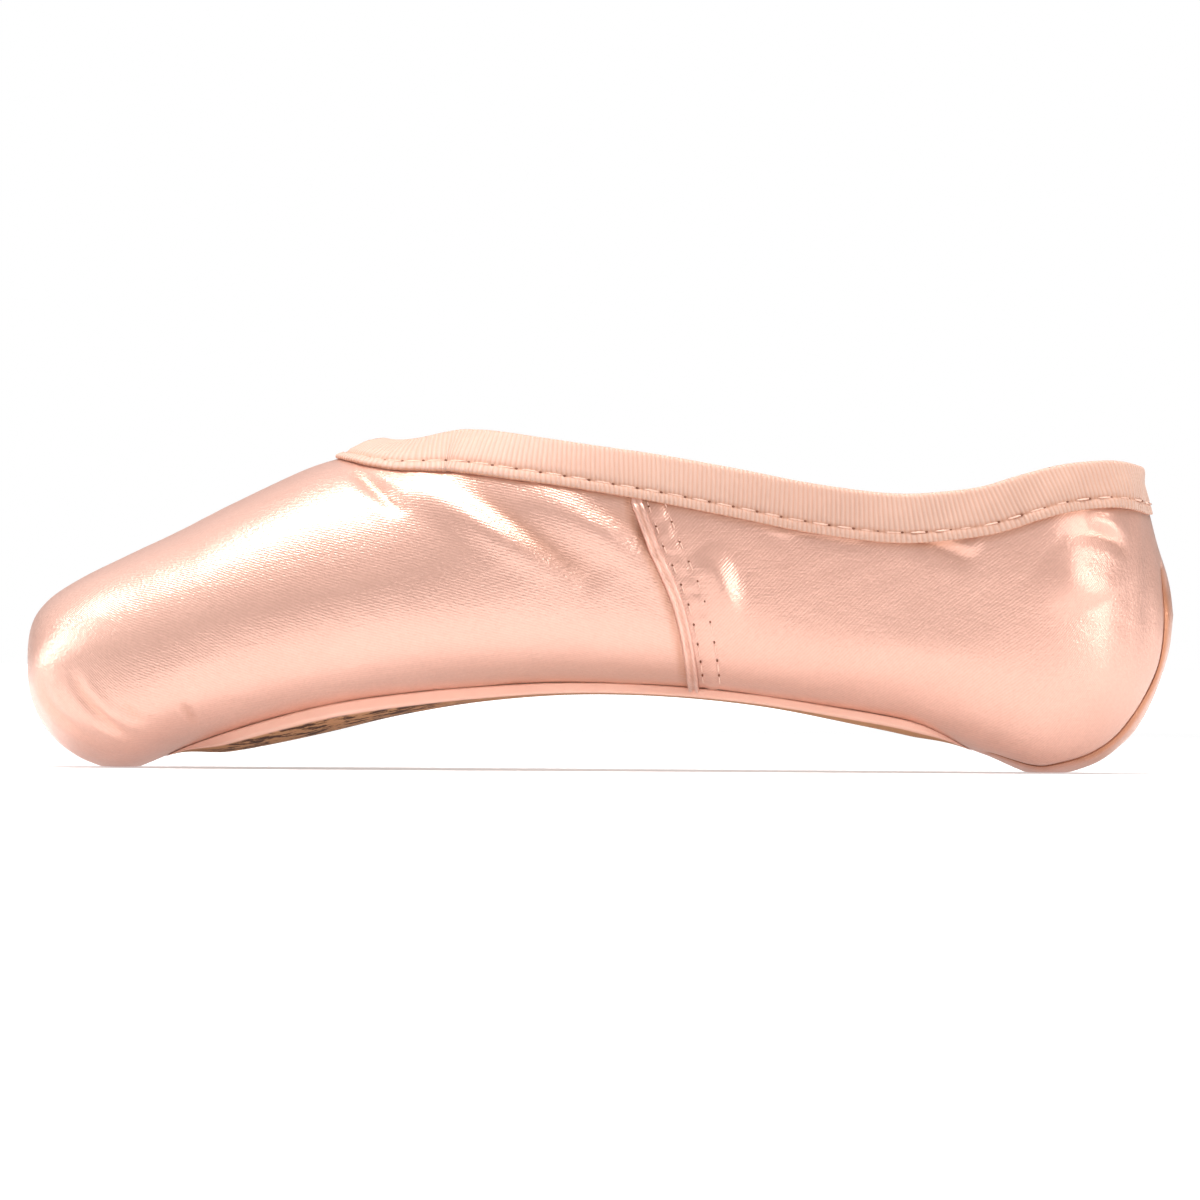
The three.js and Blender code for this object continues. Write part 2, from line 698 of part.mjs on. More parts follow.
addPart('upper', upperBody(), '#efbfa9', 0.4);
addPart('outsole', outsoleBody(), '#cf9c80', 0.85);
addPart('insole', insoleBody(), '#e4d2b8', 0.9);
addPart('binding', bindingBody(), '#ecc4ab', 0.6);
addPart('side_seam_left', seamBody(1), '#ebbca7', 0.5);
addPart('side_seam_right', seamBody(-1), '#ebbca7', 0.5);

export default group;
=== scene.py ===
import bpy
import bmesh
import math
import numpy as np
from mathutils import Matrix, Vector
from mathutils.kdtree import KDTree


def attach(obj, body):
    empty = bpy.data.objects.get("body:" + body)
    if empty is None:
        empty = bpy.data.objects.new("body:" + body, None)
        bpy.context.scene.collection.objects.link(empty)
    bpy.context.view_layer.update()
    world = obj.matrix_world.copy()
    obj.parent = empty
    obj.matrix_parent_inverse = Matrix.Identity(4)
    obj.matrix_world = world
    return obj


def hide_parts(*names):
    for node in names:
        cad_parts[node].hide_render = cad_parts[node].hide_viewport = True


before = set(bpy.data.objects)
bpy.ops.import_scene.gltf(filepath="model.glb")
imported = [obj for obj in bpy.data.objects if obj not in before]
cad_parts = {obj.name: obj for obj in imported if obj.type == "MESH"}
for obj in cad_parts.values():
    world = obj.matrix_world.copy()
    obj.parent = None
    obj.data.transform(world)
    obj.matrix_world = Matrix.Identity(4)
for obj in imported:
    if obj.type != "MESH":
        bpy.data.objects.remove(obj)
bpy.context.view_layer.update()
print("frame loaded")

# Sizes of the shoe in metres, the same as the solids
shoe = {
    "length": 0.235,
    "ballWidth": 0.078,
    "heelWidth": 0.052,
    "instepHeight": 0.0698,
    "heelHeight": 0.0642,
    "archRise": 0.0154,
    "wall": 0.0016,
    "fit": 0.00035,
    "standDepth": 0.0006,
    "soleThickness": 0.002,
    "soleWidth": 0.050,
}

# Sections of the last from toe to heel: places as shares of the length, sizes as shares of the sizes above
lastKeys = ["topAt", "top", "lowAt", "low", "arch", "sole", "press", "half", "widest", "under", "over"]
lastRows = [
    [0.000, 0.282, 0.000, 0.282, 0.000, 0.00, 0, 0.000, 0.50, 2.2, 2.20],
    [0.000, 0.364, 0.002, 0.211, 0.000, 0.00, 0, 0.154, 0.50, 2.3, 2.30],
    [0.005, 0.432, 0.011, 0.137, 0.000, 0.00, 0, 0.233, 0.49, 2.3, 2.30],
    [0.019, 0.492, 0.029, 0.063, 0.000, 0.00, 0, 0.290, 0.48, 2.3, 2.30],
    [0.045, 0.552, 0.055, 0.011, 0.000, 0.00, 0, 0.336, 0.46, 2.4, 2.30],
    [0.080, 0.612, 0.088, 0.000, 0.000, 0.00, 1, 0.379, 0.44, 2.5, 2.25],
    [0.129, 0.690, 0.134, 0.000, 0.115, 0.65, 0, 0.423, 0.43, 2.4, 2.20],
    [0.185, 0.787, 0.190, 0.000, 0.240, 0.95, 0, 0.464, 0.42, 2.4, 2.15],
    [0.247, 0.885, 0.258, 0.000, 0.466, 1.00, 0, 0.492, 0.41, 2.5, 2.10],
    [0.306, 0.948, 0.325, 0.000, 0.714, 1.00, 0, 0.500, 0.40, 2.7, 2.10],
    [0.369, 1.053, 0.395, 0.000, 0.896, 0.95, 0, 0.489, 0.40, 3.0, 2.10],
    [0.448, 1.155, 0.474, 0.000, 0.995, 0.87, 0, 0.471, 0.41, 3.3, 2.10],
    [0.535, 1.225, 0.557, 0.000, 0.980, 0.78, 0, 0.461, 0.42, 3.6, 2.15],
    [0.623, 1.253, 0.640, 0.000, 0.856, 0.75, 0, 0.470, 0.43, 3.6, 2.20],
    [0.710, 1.261, 0.719, 0.000, 0.635, 0.75, 0, 0.490, 0.44, 3.4, 2.20],
    [0.789, 1.257, 0.785, 0.000, 0.420, 0.70, 0, 0.504, 0.44, 3.2, 2.20],
    [0.855, 1.251, 0.837, 0.000, 0.188, 0.25, 0, 0.496, 0.44, 3.0, 2.20],
    [0.907, 1.222, 0.885, 0.000, 0.000, 0.00, 1, 0.469, 0.44, 2.8, 2.20],
    [0.947, 1.147, 0.929, 0.025, 0.000, 0.00, 0, 0.402, 0.45, 2.5, 2.20],
    [0.967, 1.028, 0.960, 0.107, 0.000, 0.00, 0, 0.304, 0.45, 2.3, 2.20],
    [0.9755, 0.894, 0.978, 0.199, 0.000, 0.00, 0, 0.229, 0.46, 2.2, 2.20],
    [0.986, 0.742, 0.990, 0.303, 0.000, 0.00, 0, 0.168, 0.46, 2.1, 2.10],
    [0.996, 0.622, 0.997, 0.401, 0.000, 0.00, 0, 0.096, 0.47, 2.0, 2.00],
    [1.000, 0.506, 1.000, 0.506, 0.000, 0.00, 0, 0.000, 0.50, 2.0, 2.00],
]
lastTable = {key: np.array([row[i] for row in lastRows], float) for i, key in enumerate(lastKeys)}
lastRow = len(lastRows) - 1

# Height of the collar edge from the throat to the back: at, share of the local height
collarRows = [
    [0.200, 0.968], [0.300, 0.968], [0.325, 0.967], [0.343, 0.974], [0.360, 0.987], [0.378, 0.998],
    [0.395, 0.998], [0.413, 0.993], [0.448, 0.978], [0.500, 0.958], [0.553, 0.940], [0.623, 0.910],
    [0.675, 0.885], [0.728, 0.869], [0.763, 0.867], [0.798, 0.881], [0.833, 0.905], [0.868, 0.949],
    [0.903, 0.985], [0.938, 1.000], [0.957, 0.996], [0.973, 0.981], [0.985, 0.965], [1.050, 0.900],
]


mirror = np.array([1, -1, 1])


# Rises from 0 at low to 1 at high; low may lie above high
def smoothstep(low, high, value):
    share = np.clip((np.asarray(value, float) - low) / (high - low), 0, 1)
    return share * share * (3 - 2 * share)


def bell(distance, reach):
    return np.exp(-(distance / reach) ** 2)


# Shares from 0 to 1, closer together at both ends
def easedShares(count):
    return 0.5 - 0.5 * np.cos(np.linspace(0, np.pi, count))


def travelAlong(path):
    return np.concatenate([[0], np.cumsum(np.linalg.norm(np.diff(path, axis=0), axis=1))])


def readPath(path, travel, stops):
    return np.stack([np.interp(stops, travel, path[:, i]) for i in range(3)], axis=1)


def hermite(column, place):
    place = np.asarray(place, float)
    row = np.clip(np.floor(place).astype(int), 0, len(column) - 2)
    part = place - row
    wide = np.concatenate([[2 * column[0] - column[1]], column, [2 * column[-1] - column[-2]]])
    before, start, end, after = wide[row], wide[row + 1], wide[row + 2], wide[row + 3]
    square = part * part
    cube = square * part
    return (
        (2 * cube - 3 * square + 1) * start
        + (cube - 2 * square + part) * (end - before) / 2
        + (3 * square - 2 * cube) * end
        + (cube - square) * (after - start) / 2
    )


# A table of at and value pairs, read at any share of the length
def makeReader(rows, index=1):
    fine = np.linspace(0, len(rows) - 1, 3000)
    ats = hermite(np.array([row[0] for row in rows], float), fine)
    values = hermite(np.array([row[index] for row in rows], float), fine)
    return lambda at: np.interp(at, ats, values)


def solveRising(measure, value, low, high):
    value = np.asarray(value, float)
    bottom = np.full(value.shape, float(low))
    top = np.full(value.shape, float(high))
    for _ in range(40):
        middle = (bottom + top) / 2
        less = measure(middle) < value
        bottom = np.where(less, middle, bottom)
        top = np.where(less, top, middle)
    return (bottom + top) / 2


def localHeight(at):
    return shoe["instepHeight"] + (shoe["heelHeight"] - shoe["instepHeight"]) * smoothstep(0.4, 0.95, at)


def localWidth(at):
    return shoe["ballWidth"] + (shoe["heelWidth"] - shoe["ballWidth"]) * smoothstep(0.35, 0.85, at)


def toX(at):
    return (0.5 - at) * shoe["length"]


def toAt(x):
    return 0.5 - x / shoe["length"]


# A point on the last; turn runs from 0 underneath over the left side to pi on top
def lastPoint(place, turn):
    place, turn = np.broadcast_arrays(np.asarray(place, float), np.asarray(turn, float))
    read = {key: hermite(lastTable[key], place) for key in lastKeys}
    build = read["sole"] * (shoe["soleThickness"] + shoe["fit"]) - read["press"] * shoe["standDepth"]
    lowZ = read["low"] * localHeight(read["lowAt"]) + read["arch"] * shoe["archRise"] + build
    topZ = read["top"] * localHeight(read["topAt"])
    half = np.maximum(read["half"], 0) * localWidth((read["topAt"] + read["lowAt"]) / 2)
    sine, cosine = np.sin(turn), np.cos(turn)
    power = np.where(cosine > 0, read["under"], read["over"])
    radius = (np.abs(sine) ** power + np.abs(cosine) ** power) ** (-1 / power)
    reach = np.where(cosine > 0, read["widest"], 1 - read["widest"])
    climb = read["widest"] - radius * cosine * reach
    lowX, topX = toX(read["lowAt"]), toX(read["topAt"])
    x, z = lowX + (topX - lowX) * climb, lowZ + (topZ - lowZ) * climb
    return np.stack([x, half * radius * sine, z], axis=-1)


def unit(vectors):
    return vectors / np.maximum(np.linalg.norm(vectors, axis=-1, keepdims=True), 1e-12)


def lastSlopes(place, turn):
    step = 1e-3
    fore = np.maximum(place - step, 0)
    aft = np.minimum(place + step, lastRow)
    along = (lastPoint(aft, turn) - lastPoint(fore, turn)) / (aft - fore)[..., None]
    around = (lastPoint(place, turn + step) - lastPoint(place, turn - step)) / (2 * step)
    return along, around


def lastNormal(place, turn):
    place, turn = np.broadcast_arrays(np.asarray(place, float), np.asarray(turn, float))
    along, around = lastSlopes(place, turn)
    normal = unit(np.cross(along, around))
    normal = np.where((place < 1e-6)[..., None], np.array([1.0, 0, 0]), normal)
    return np.where((place > lastRow - 1e-6)[..., None], np.array([-1.0, 0, 0]), normal)


# Points at a distance off the last, below zero inside it
def skin(place, turn, out):
    return lastPoint(place, turn) + lastNormal(place, turn) * np.asarray(out, float)[..., None]


def placeAt(at, turn):
    return solveRising(lambda p: toAt(lastPoint(p, turn)[..., 0]), at, 0, lastRow)


# Place and turn on the left side, from the share of the length and the height as seen from the side
def sideSpot(at, height):
    at, height = np.broadcast_arrays(np.asarray(at, float), np.asarray(height, float))
    turn = solveRising(lambda t: lastPoint(placeAt(at, t), t)[..., 2], height, 0.03, math.pi - 0.03)
    return placeAt(at, turn), turn


# The spot reached by going straight on over the surface of the last
def walkOver(place, turn, heading, length, steps=12):
    place, turn, heading = place.copy(), turn.copy(), heading.copy()
    for _ in range(steps):
        normal = lastNormal(place, turn)
        heading = unit(heading - normal * np.sum(heading * normal, axis=-1, keepdims=True))
        along, around = lastSlopes(place, turn)
        aa, ab, bb = (np.sum(p * q, axis=-1) for p, q in ((along, along), (along, around), (around, around)))
        ra = np.sum(along * heading, axis=-1) * length / steps
        rb = np.sum(around * heading, axis=-1) * length / steps
        det = aa * bb - ab * ab
        place = place + (ra * bb - rb * ab) / det
        turn = turn + (rb * aa - ra * ab) / det
    return place, turn


def collarHeightAt(at, reader=makeReader(collarRows)):
    return reader(at) * localHeight(at)


weld = 1e-7


def placeObject(name, data):
    placed = bpy.data.objects.new(name, data)
    bpy.context.collection.objects.link(placed)
    return placed


def makeObject(name, points, faces, materials, uvs=None, marks=None, faceSlots=None):
    mesh = bpy.data.meshes.new(name)
    mesh.from_pydata(points.tolist(), [], faces)
    for material in materials:
        mesh.materials.append(material)
    if faceSlots is not None:
        mesh.polygons.foreach_set("material_index", faceSlots)
    if uvs is not None:
        loops = np.zeros(len(mesh.loops), int)
        mesh.loops.foreach_get("vertex_index", loops)
        layer = mesh.uv_layers.new(name="surface")
        layer.data.foreach_set("uv", uvs[loops].astype(np.float32).ravel())
    for key, values in (marks or {}).items():
        attribute = mesh.attributes.new(key, "FLOAT", "POINT")
        attribute.data.foreach_set("value", values.astype(np.float32))
    mesh.polygons.foreach_set("use_smooth", [True] * len(mesh.polygons))
    work = bmesh.new()
    work.from_mesh(mesh)
    bmesh.ops.remove_doubles(work, verts=work.verts, dist=weld)
    bmesh.ops.dissolve_degenerate(work, edges=work.edges, dist=weld)
    bmesh.ops.recalc_face_normals(work, faces=work.faces)
    work.to_mesh(mesh)
    work.free()
    return placeObject(name, mesh)


def gridFaces(rows, columns, start=0, closeRows=False, closeColumns=False):
    faces = []
    for i in range(rows if closeRows else rows - 1):
        a, b = start + i * columns, start + ((i + 1) % rows) * columns
        for j in range(columns if closeColumns else columns - 1):
            k = (j + 1) % columns
            faces.append((a + j, b + j, b + k, a + k))
    return faces


def capFaces(rows, columns):
    return [tuple(range(columns)), tuple(range((rows - 1) * columns, rows * columns))]


def gridUvs(along, across):
    return np.stack(np.meshgrid(along, across, indexing="ij"), axis=2).reshape(-1, 2)


def addPiece(piece, slotName, *nodes):
    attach(piece, "root")
    if nodes:
        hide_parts(*nodes)
    return piece


print("last ready")

# Camera: side on from the wearer's left, a long lens, a slight roll as in the photograph
view = {"distance": 4.0, "height": 0.0348, "aside": 0.0001, "roll": -0.375, "span": 0.2467, "sensor": 36}
cameraData = bpy.data.cameras.new("sideCamera")
cameraData.sensor_width = view["sensor"]
cameraData.lens = view["sensor"] * view["distance"] / view["span"]
cameraData.clip_end = 50
camera = placeObject("sideCamera", cameraData)
camera.location = (view["aside"], view["distance"], view["height"])
camera.rotation_euler = (math.radians(90), math.radians(view["roll"]), math.radians(180))
bpy.context.scene.camera = camera


# Materials
def startMaterial(name):
    material = bpy.data.materials.new(name)
    material.use_nodes = True
    tree = material.node_tree
    shader = tree.nodes["Principled BSDF"]
    return material, tree, shader


def setInputs(node, **values):
    for key, value in values.items():
        node.inputs[key.replace("_", " ")].default_value = value


def addNode(tree, kind, **values):
    node = tree.nodes.new(kind)
    for key, value in values.items():
        if hasattr(node, key):
            setattr(node, key, value)
        else:
            setInputs(node, **{key: value})
    return node


def paint(tree, shader, base, **values):
    tree.links.new(base, shader.inputs["Base Color"])
    setInputs(shader, **values)


def mixColours(tree, factor, first, second, blend="MIX"):
    mix = addNode(tree, "ShaderNodeMix", data_type="RGBA", blend_type=blend)
    for socket, value in ((mix.inputs[0], factor), (mix.inputs[6], first), (mix.inputs[7], second)):
        if isinstance(value, bpy.types.NodeSocket):
            tree.links.new(value, socket)
        else:
            socket.default_value = value if isinstance(value, float) else (*value, 1)
    return mix.outputs[2]


def readMark(tree, name):
    return addNode(tree, "ShaderNodeAttribute", attribute_name=name).outputs["Fac"]


def readSurface(tree, scale=(1, 1, 1), turn=0.0):
    surface = addNode(tree, "ShaderNodeUVMap", uv_map="surface")
    mapping = addNode(tree, "ShaderNodeMapping", Scale=scale, Rotation=(0, 0, math.radians(turn)))
    tree.links.new(surface.outputs[0], mapping.inputs[0])
    return mapping.outputs[0]


def readObject(tree):
    return addNode(tree, "ShaderNodeTexCoord").outputs["Object"]


def addNoise(tree, vector, scale, detail=3.0, roughness=0.5):
    noise = addNode(tree, "ShaderNodeTexNoise", Scale=scale, Detail=detail, Roughness=roughness)
    tree.links.new(vector, noise.inputs["Vector"])
    return noise.outputs["Fac"]


def addRamp(tree, value, low, high, lowColour=(0, 0, 0), highColour=(1, 1, 1)):
    ramp = addNode(tree, "ShaderNodeValToRGB")
    for element, spot, colour in zip(ramp.color_ramp.elements, (low, high), (lowColour, highColour)):
        element.position = spot
        element.color = (*colour, 1)
    tree.links.new(value, ramp.inputs[0])
    return ramp.outputs[0]


# Bumps one over the other, each named with its strength and distance
def addBumps(tree, shader, bumps, **heights):
    last = None
    for name, (strength, distance) in bumps.items():
        bump = addNode(tree, "ShaderNodeBump", Strength=strength, Distance=distance)
        tree.links.new(heights[name], bump.inputs["Height"])
        if last is not None:
            tree.links.new(last, bump.inputs["Normal"])
        last = bump.outputs[0]
    tree.links.new(last, shader.inputs["Normal"])


def addWaves(tree, vector, scale, distortion=0.0, direction="X"):
    wave = addNode(tree, "ShaderNodeTexWave", Scale=scale, Distortion=distortion, bands_direction=direction)
    tree.links.new(vector, wave.inputs["Vector"])
    return wave.outputs["Fac"]


satin = {
    "deep": (0.72, 0.40, 0.312),
    "pale": (0.825, 0.495, 0.398),
    "shade": (0.50, 0.19, 0.085),
    # a little deeper over the quarters: painted shade
    "quarter": (0.985, 0.955, 0.94),
    "speck": (0.93, 0.91, 0.90),
    "line": (0.94, 0.92, 0.91),
    "roughness": 0.28,
    "metallic": 0.5,
    "refraction": 1.6,
    "specular": 0.9,
    "cloudScale": 22.0,
    "grainScale": 1400.0,
    "slubStretch": (60, 900, 1),
    "twillPitch": 0.00055,
    "twillBend": 1.6,
    "vampTurn": -65,
    "quarterTurn": 45,
    "bumps": {
        "soft": (0.2, 0.0004), "slub": (0.25, 0.0002), "grain": (0.55, 0.00014), "twill": (0.4, 0.00005),
    },
}


def waveScale(pitch):
    return math.pi / 10 / pitch


# Fine slanting lines of the weave: the vamp and the quarters are cut on different slants
def addTwill(tree):
    scale = waveScale(satin["twillPitch"])
    slants = [readSurface(tree, turn=satin[part]) for part in ("vampTurn", "quarterTurn")]
    lines = [addWaves(tree, slant, scale, satin["twillBend"]) for slant in slants]
    mix = addNode(tree, "ShaderNodeMix", data_type="FLOAT")
    for value, socket in zip((readMark(tree, "quarter"), *lines), (0, 2, 3)):
        tree.links.new(value, mix.inputs[socket])
    return mix.outputs[0]


def makeSatin():
    material, tree, shader = startMaterial("pinkSatin")
    place = readObject(tree)
    cloud = addNoise(tree, place, satin["cloudScale"], 4.0)
    grain = addNoise(tree, place, satin["grainScale"], 2.0)
    twill = addTwill(tree)
    base = mixColours(tree, cloud, satin["deep"], satin["pale"])
    base = mixColours(tree, 1.0, base, addRamp(tree, grain, 0.3, 0.7, satin["speck"]), "MULTIPLY")
    base = mixColours(tree, 1.0, base, addRamp(tree, twill, 0.1, 0.8, satin["line"]), "MULTIPLY")
    # the quarters a little deeper in tone: painted shade, as the quarters fall darker than the vamp
    base = mixColours(tree, readMark(tree, "quarter"), base, satin["quarter"], "MULTIPLY")
    base = mixColours(tree, readMark(tree, "shadow"), base, satin["shade"])
    paint(tree, shader, base, Roughness=satin["roughness"], Metallic=satin["metallic"])
    setInputs(shader, IOR=satin["refraction"], Specular_IOR_Level=satin["specular"])
    setInputs(shader, Sheen_Weight=0.08, Sheen_Roughness=0.4, Sheen_Tint=(1.0, 0.85, 0.78, 1))
    slub = addNoise(tree, readSurface(tree, satin["slubStretch"]), 3.0, 2.0)
    soft = addNoise(tree, place, 160.0, 2.0)
    addBumps(tree, shader, satin["bumps"], soft=soft, slub=slub, grain=grain, twill=twill)
    return material


lining = {
    "deep": (0.56, 0.44, 0.32),
    "pale": (0.74, 0.63, 0.49),
    "roughness": 0.92,
    "weaveScale": 520.0,
    "bumps": {"warp": (0.3, 0.0001), "weft": (0.3, 0.0001)},
}


def makeLining():
    material, tree, shader = startMaterial("lining")
    cloud = addNoise(tree, readObject(tree), 60.0, 4.0)
    base = mixColours(tree, cloud, lining["deep"], lining["pale"])
    paint(tree, shader, base, Roughness=lining["roughness"])
    warp = addWaves(tree, readSurface(tree), lining["weaveScale"], 0.5)
    weft = addWaves(tree, readSurface(tree), lining["weaveScale"], 0.5, "Y")
    addBumps(tree, shader, lining["bumps"], warp=warp, weft=weft)
    return material


tape = {
    "width": 0.0092,
    "thickness": 0.0008,
    "ribPitch": 0.00095,
    "colour": (0.525, 0.303, 0.23),
    "pale": (0.61, 0.388, 0.305),
    "stitchFromEdge": 0.0021,
    "stitchPitch": 0.0050,
    "off": 0.00015,  # from the satin to the back of the tape
    "face": 0.0009,  # from the satin to its face
    "frontShare": 0.10,  # wider by this share at the throat
    "frontReach": 0.012,
    "wideShare": 0.30,  # wider by this share at both sides of the throat
    "wideAt": 0.375,
    "wideReach": (0.035, 0.065),  # towards the toe, towards the heel
    "knotAt": 0.0490,  # the drawstring's ends lie tucked under the tape here
    "knotWidth": 0.0045,
    "knotHeight": 0.0012,
    "roughness": 0.55,
    "ribTurn": 7,
    "bumps": {"rib": (0.6, 0.00028), "fine": (0.25, 0.0001)},
}


def makeTape():
    material, tree, shader = startMaterial("ribbedTape")
    cloud = addNoise(tree, readObject(tree), 35.0, 3.0)
    base = mixColours(tree, cloud, tape["colour"], tape["pale"])
    rib = addWaves(tree, readSurface(tree, turn=tape["ribTurn"]), waveScale(tape["ribPitch"]), 0.3)
    # painted shade in the grooves between the ribs; the tape's shadow mark adds painted shade in the stitch
    # dent and on the tape's lower edge
    grooveShade = addRamp(tree, rib, 0.0, 0.5, (0.35, 0.35, 0.35), (0, 0, 0))
    for factor in (grooveShade, readMark(tree, "shadow")):
        base = mixColours(tree, factor, base, satin["shade"])
    paint(tree, shader, base, Roughness=tape["roughness"], Specular_IOR_Level=0.5)
    setInputs(shader, Sheen_Weight=0.3, Sheen_Tint=(1.0, 0.88, 0.78, 1))
    fine = addNoise(tree, readSurface(tree, (1, 4, 1)), 900.0, 2.0)
    addBumps(tree, shader, tape["bumps"], rib=rib, fine=fine)
    return material


leather = {
    "suede": ((0.37, 0.17, 0.075), (0.57, 0.295, 0.15)),
    "dyed": ((0.86, 0.49, 0.38), (0.96, 0.60, 0.48)),
    "scuff": (0.07, 0.028, 0.015),
    "scuffStretch": (210, 420, 420),
    "roughness": 0.8,
    "specular": 0.25,
    "bumps": {"nap": (0.4, 0.00015), "cloud": (0.3, 0.0006)},
}


def makeLeather():
    material, tree, shader = startMaterial("soleLeather")
    place = readObject(tree)
    cloud = addNoise(tree, place, 45.0, 5.0, 0.6)
    streak = addNode(tree, "ShaderNodeMapping", Scale=leather["scuffStretch"])
    tree.links.new(place, streak.inputs[0])
    scuffs = addRamp(tree, addNoise(tree, streak.outputs[0], 1.0, 4.0, 0.65), 0.49, 0.55)
    scuffs = mixColours(tree, 1.0, scuffs, readMark(tree, "scuff"), "MULTIPLY")
    suede = mixColours(tree, scuffs, mixColours(tree, cloud, *leather["suede"]), leather["scuff"])
    base = mixColours(tree, readMark(tree, "dyed"), suede, mixColours(tree, cloud, *leather["dyed"]))
    paint(tree, shader, base, Roughness=leather["roughness"], Specular_IOR_Level=leather["specular"])
    addBumps(tree, shader, leather["bumps"], nap=addNoise(tree, place, 1800.0, 3.0), cloud=cloud)
    return material


def makeThread(name, colour, roughness=0.6):
    material, tree, shader = startMaterial(name)
    fibre = addNoise(tree, readObject(tree), 2500.0, 2.0)
    base = mixColours(tree, fibre, tuple(c * 0.8 for c in colour), colour)
    paint(tree, shader, base, Roughness=roughness)
    addBumps(tree, shader, {"fibre": (0.3, 0.00005)}, fibre=fibre)
    return material


satinMaterial = makeSatin()
liningMaterial = makeLining()
tapeMaterial = makeTape()
leatherMaterial = makeLeather()
threadMaterial = makeThread("thread", (0.90, 0.58, 0.46))
# dark dots that stand in for the shade inside the needle holes: painted shade
holeShadeMaterial = makeThread("needleHoleShade", (0.22, 0.085, 0.05), 0.95)
# dark line of painted shade in the back seam's gap
seamShadeMaterial = makeThread("seamGapShade", (0.34, 0.12, 0.06), 0.9)
print("materials ready")


# The collar edge lies below the top of the binding by the tape's own build-up, here as drop and distance
innerFace = -shoe["wall"] - shoe["fit"]
innerBack = innerFace - tape["thickness"]
capSection = [
    (0.0, shoe["fit"] + tape["thickness"]),
    (-shoe["fit"] - tape["thickness"] * 0.7, shoe["fit"] + tape["thickness"] * 0.3),
    (-shoe["fit"] - tape["thickness"], -shoe["wall"] / 2),
    (-shoe["fit"] - tape["thickness"] * 0.7, innerFace - tape["thickness"] * 0.3),
    (0.0, innerBack),
]


def aboveCollar(place, turn):
    point = lastPoint(place, turn)
    normal = lastNormal(place, turn)
    level = np.sqrt(np.maximum(1 - normal[..., 2] ** 2, 0))
    rise = np.max([out * normal[..., 2] - drop * level for drop, out in capSection], axis=0)
    return point[..., 2] + np.maximum(rise, 0) - collarHeightAt(toAt(point[..., 0]))


heartPlace = float(placeAt(0.62, math.pi))
throatPlace = float(solveRising(lambda p: aboveCollar(p, np.full(np.shape(p), math.pi)), 0.0, 6, heartPlace))
backPlace = float(solveRising(lambda p: -aboveCollar(p, np.full(np.shape(p), math.pi)), 0.0, heartPlace, 22))


def collarTurn(place):
    place = np.asarray(place, float)
    turn = solveRising(lambda t: aboveCollar(place, t), np.zeros(place.shape), math.pi / 2 - 0.2, math.pi)
    return np.where((place <= throatPlace) | (place >= backPlace), math.pi, turn)


print("collar", round(throatPlace, 2), round(backPlace, 2))


# Creases, each a soft ridge, or a trough below zero: height, half width, shoulder (the share of the height
# by which both flanks go the other way), and the line as at and rise, a share of the instep height
creases = [
    (-0.0010, 0.0017, 0.15, [(0.282, 0.885), (0.292, 0.855), (0.306, 0.815), (0.318, 0.779), (0.330, 0.741)]),
    (0.0013, 0.0034, 0.0, [(0.322, 0.860), (0.350, 0.800), (0.392, 0.722), (0.440, 0.632), (0.488, 0.545)]),
    (-0.0009, 0.0034, 0.0, [(0.372, 0.850), (0.410, 0.752), (0.455, 0.646), (0.505, 0.535)]),
    (0.0011, 0.0036, 0.0, [(0.426, 0.820), (0.472, 0.747), (0.520, 0.645), (0.560, 0.513)]),
    (-0.0005, 0.0026, 0.0, [(0.480, 0.789), (0.520, 0.731), (0.543, 0.658)]),
    (0.0014, 0.0031, 0.0, [(0.588, 0.650), (0.604, 0.545), (0.614, 0.400)]),
    (0.0012, 0.0020, 0.2, [(0.789, 0.725), (0.808, 0.696), (0.831, 0.652)]),
    (-0.0006, 0.0024, 0.0, [(0.759, 0.698), (0.794, 0.663), (0.829, 0.620)]),
    (0.0005, 0.0014, 0.3, [(0.686, 0.737), (0.709, 0.711), (0.733, 0.703)]),
    (0.0004, 0.0014, 0.3, [(0.640, 0.748), (0.654, 0.722), (0.671, 0.696)]),
    (0.0007, 0.0022, 0.0, [(0.923, 0.766), (0.940, 0.749), (0.959, 0.708)]),
    (-0.0005, 0.0014, 0.3, [(0.908, 0.704), (0.929, 0.699), (0.948, 0.678), (0.961, 0.635)]),
    (0.0011, 0.0070, 0.0, [(0.890, 0.640), (0.915, 0.560), (0.925, 0.480)]),
    (0.0009, 0.0075, 0.0, [(0.640, 0.360), (0.720, 0.335), (0.800, 0.325), (0.860, 0.340)]),
    (-0.00035, 0.0045, 0.0, [(0.660, 0.270), (0.740, 0.235), (0.830, 0.225)]),
    (0.0005, 0.0080, 0.0, [(0.130, 0.420), (0.230, 0.470), (0.350, 0.500), (0.460, 0.480)]),
    (-0.0007, 0.0013, 0.45, [(0.042, 0.284), (0.049, 0.220), (0.060, 0.170), (0.078, 0.117), (0.098, 0.082)]),
    (-0.0005, 0.0010, 0.45, [(0.086, 0.194), (0.094, 0.162), (0.106, 0.127)]),
    (-0.0005, 0.0009, 0.45, [(0.137, 0.192), (0.143, 0.160), (0.150, 0.125)]),
    (-0.0005, 0.0018, 0.3, [(0.012, 0.284), (0.019, 0.196), (0.038, 0.125), (0.066, 0.070)]),
]


# Back strip: its edge under the heel and up the back
backSeam = [
    (0.841, 0.052), (0.877, 0.016), (0.899, 0.020), (0.932, 0.057),
    (0.959, 0.131), (0.986, 0.282), (0.994, 0.426), (0.991, 0.600),
]


def creaseCurve(line, count=36):
    place = np.linspace(0, len(line) - 1, count)
    ats, rises = (hermite(np.array(column, float), place) for column in zip(*line))
    return sideSpot(ats, rises * shoe["instepHeight"])


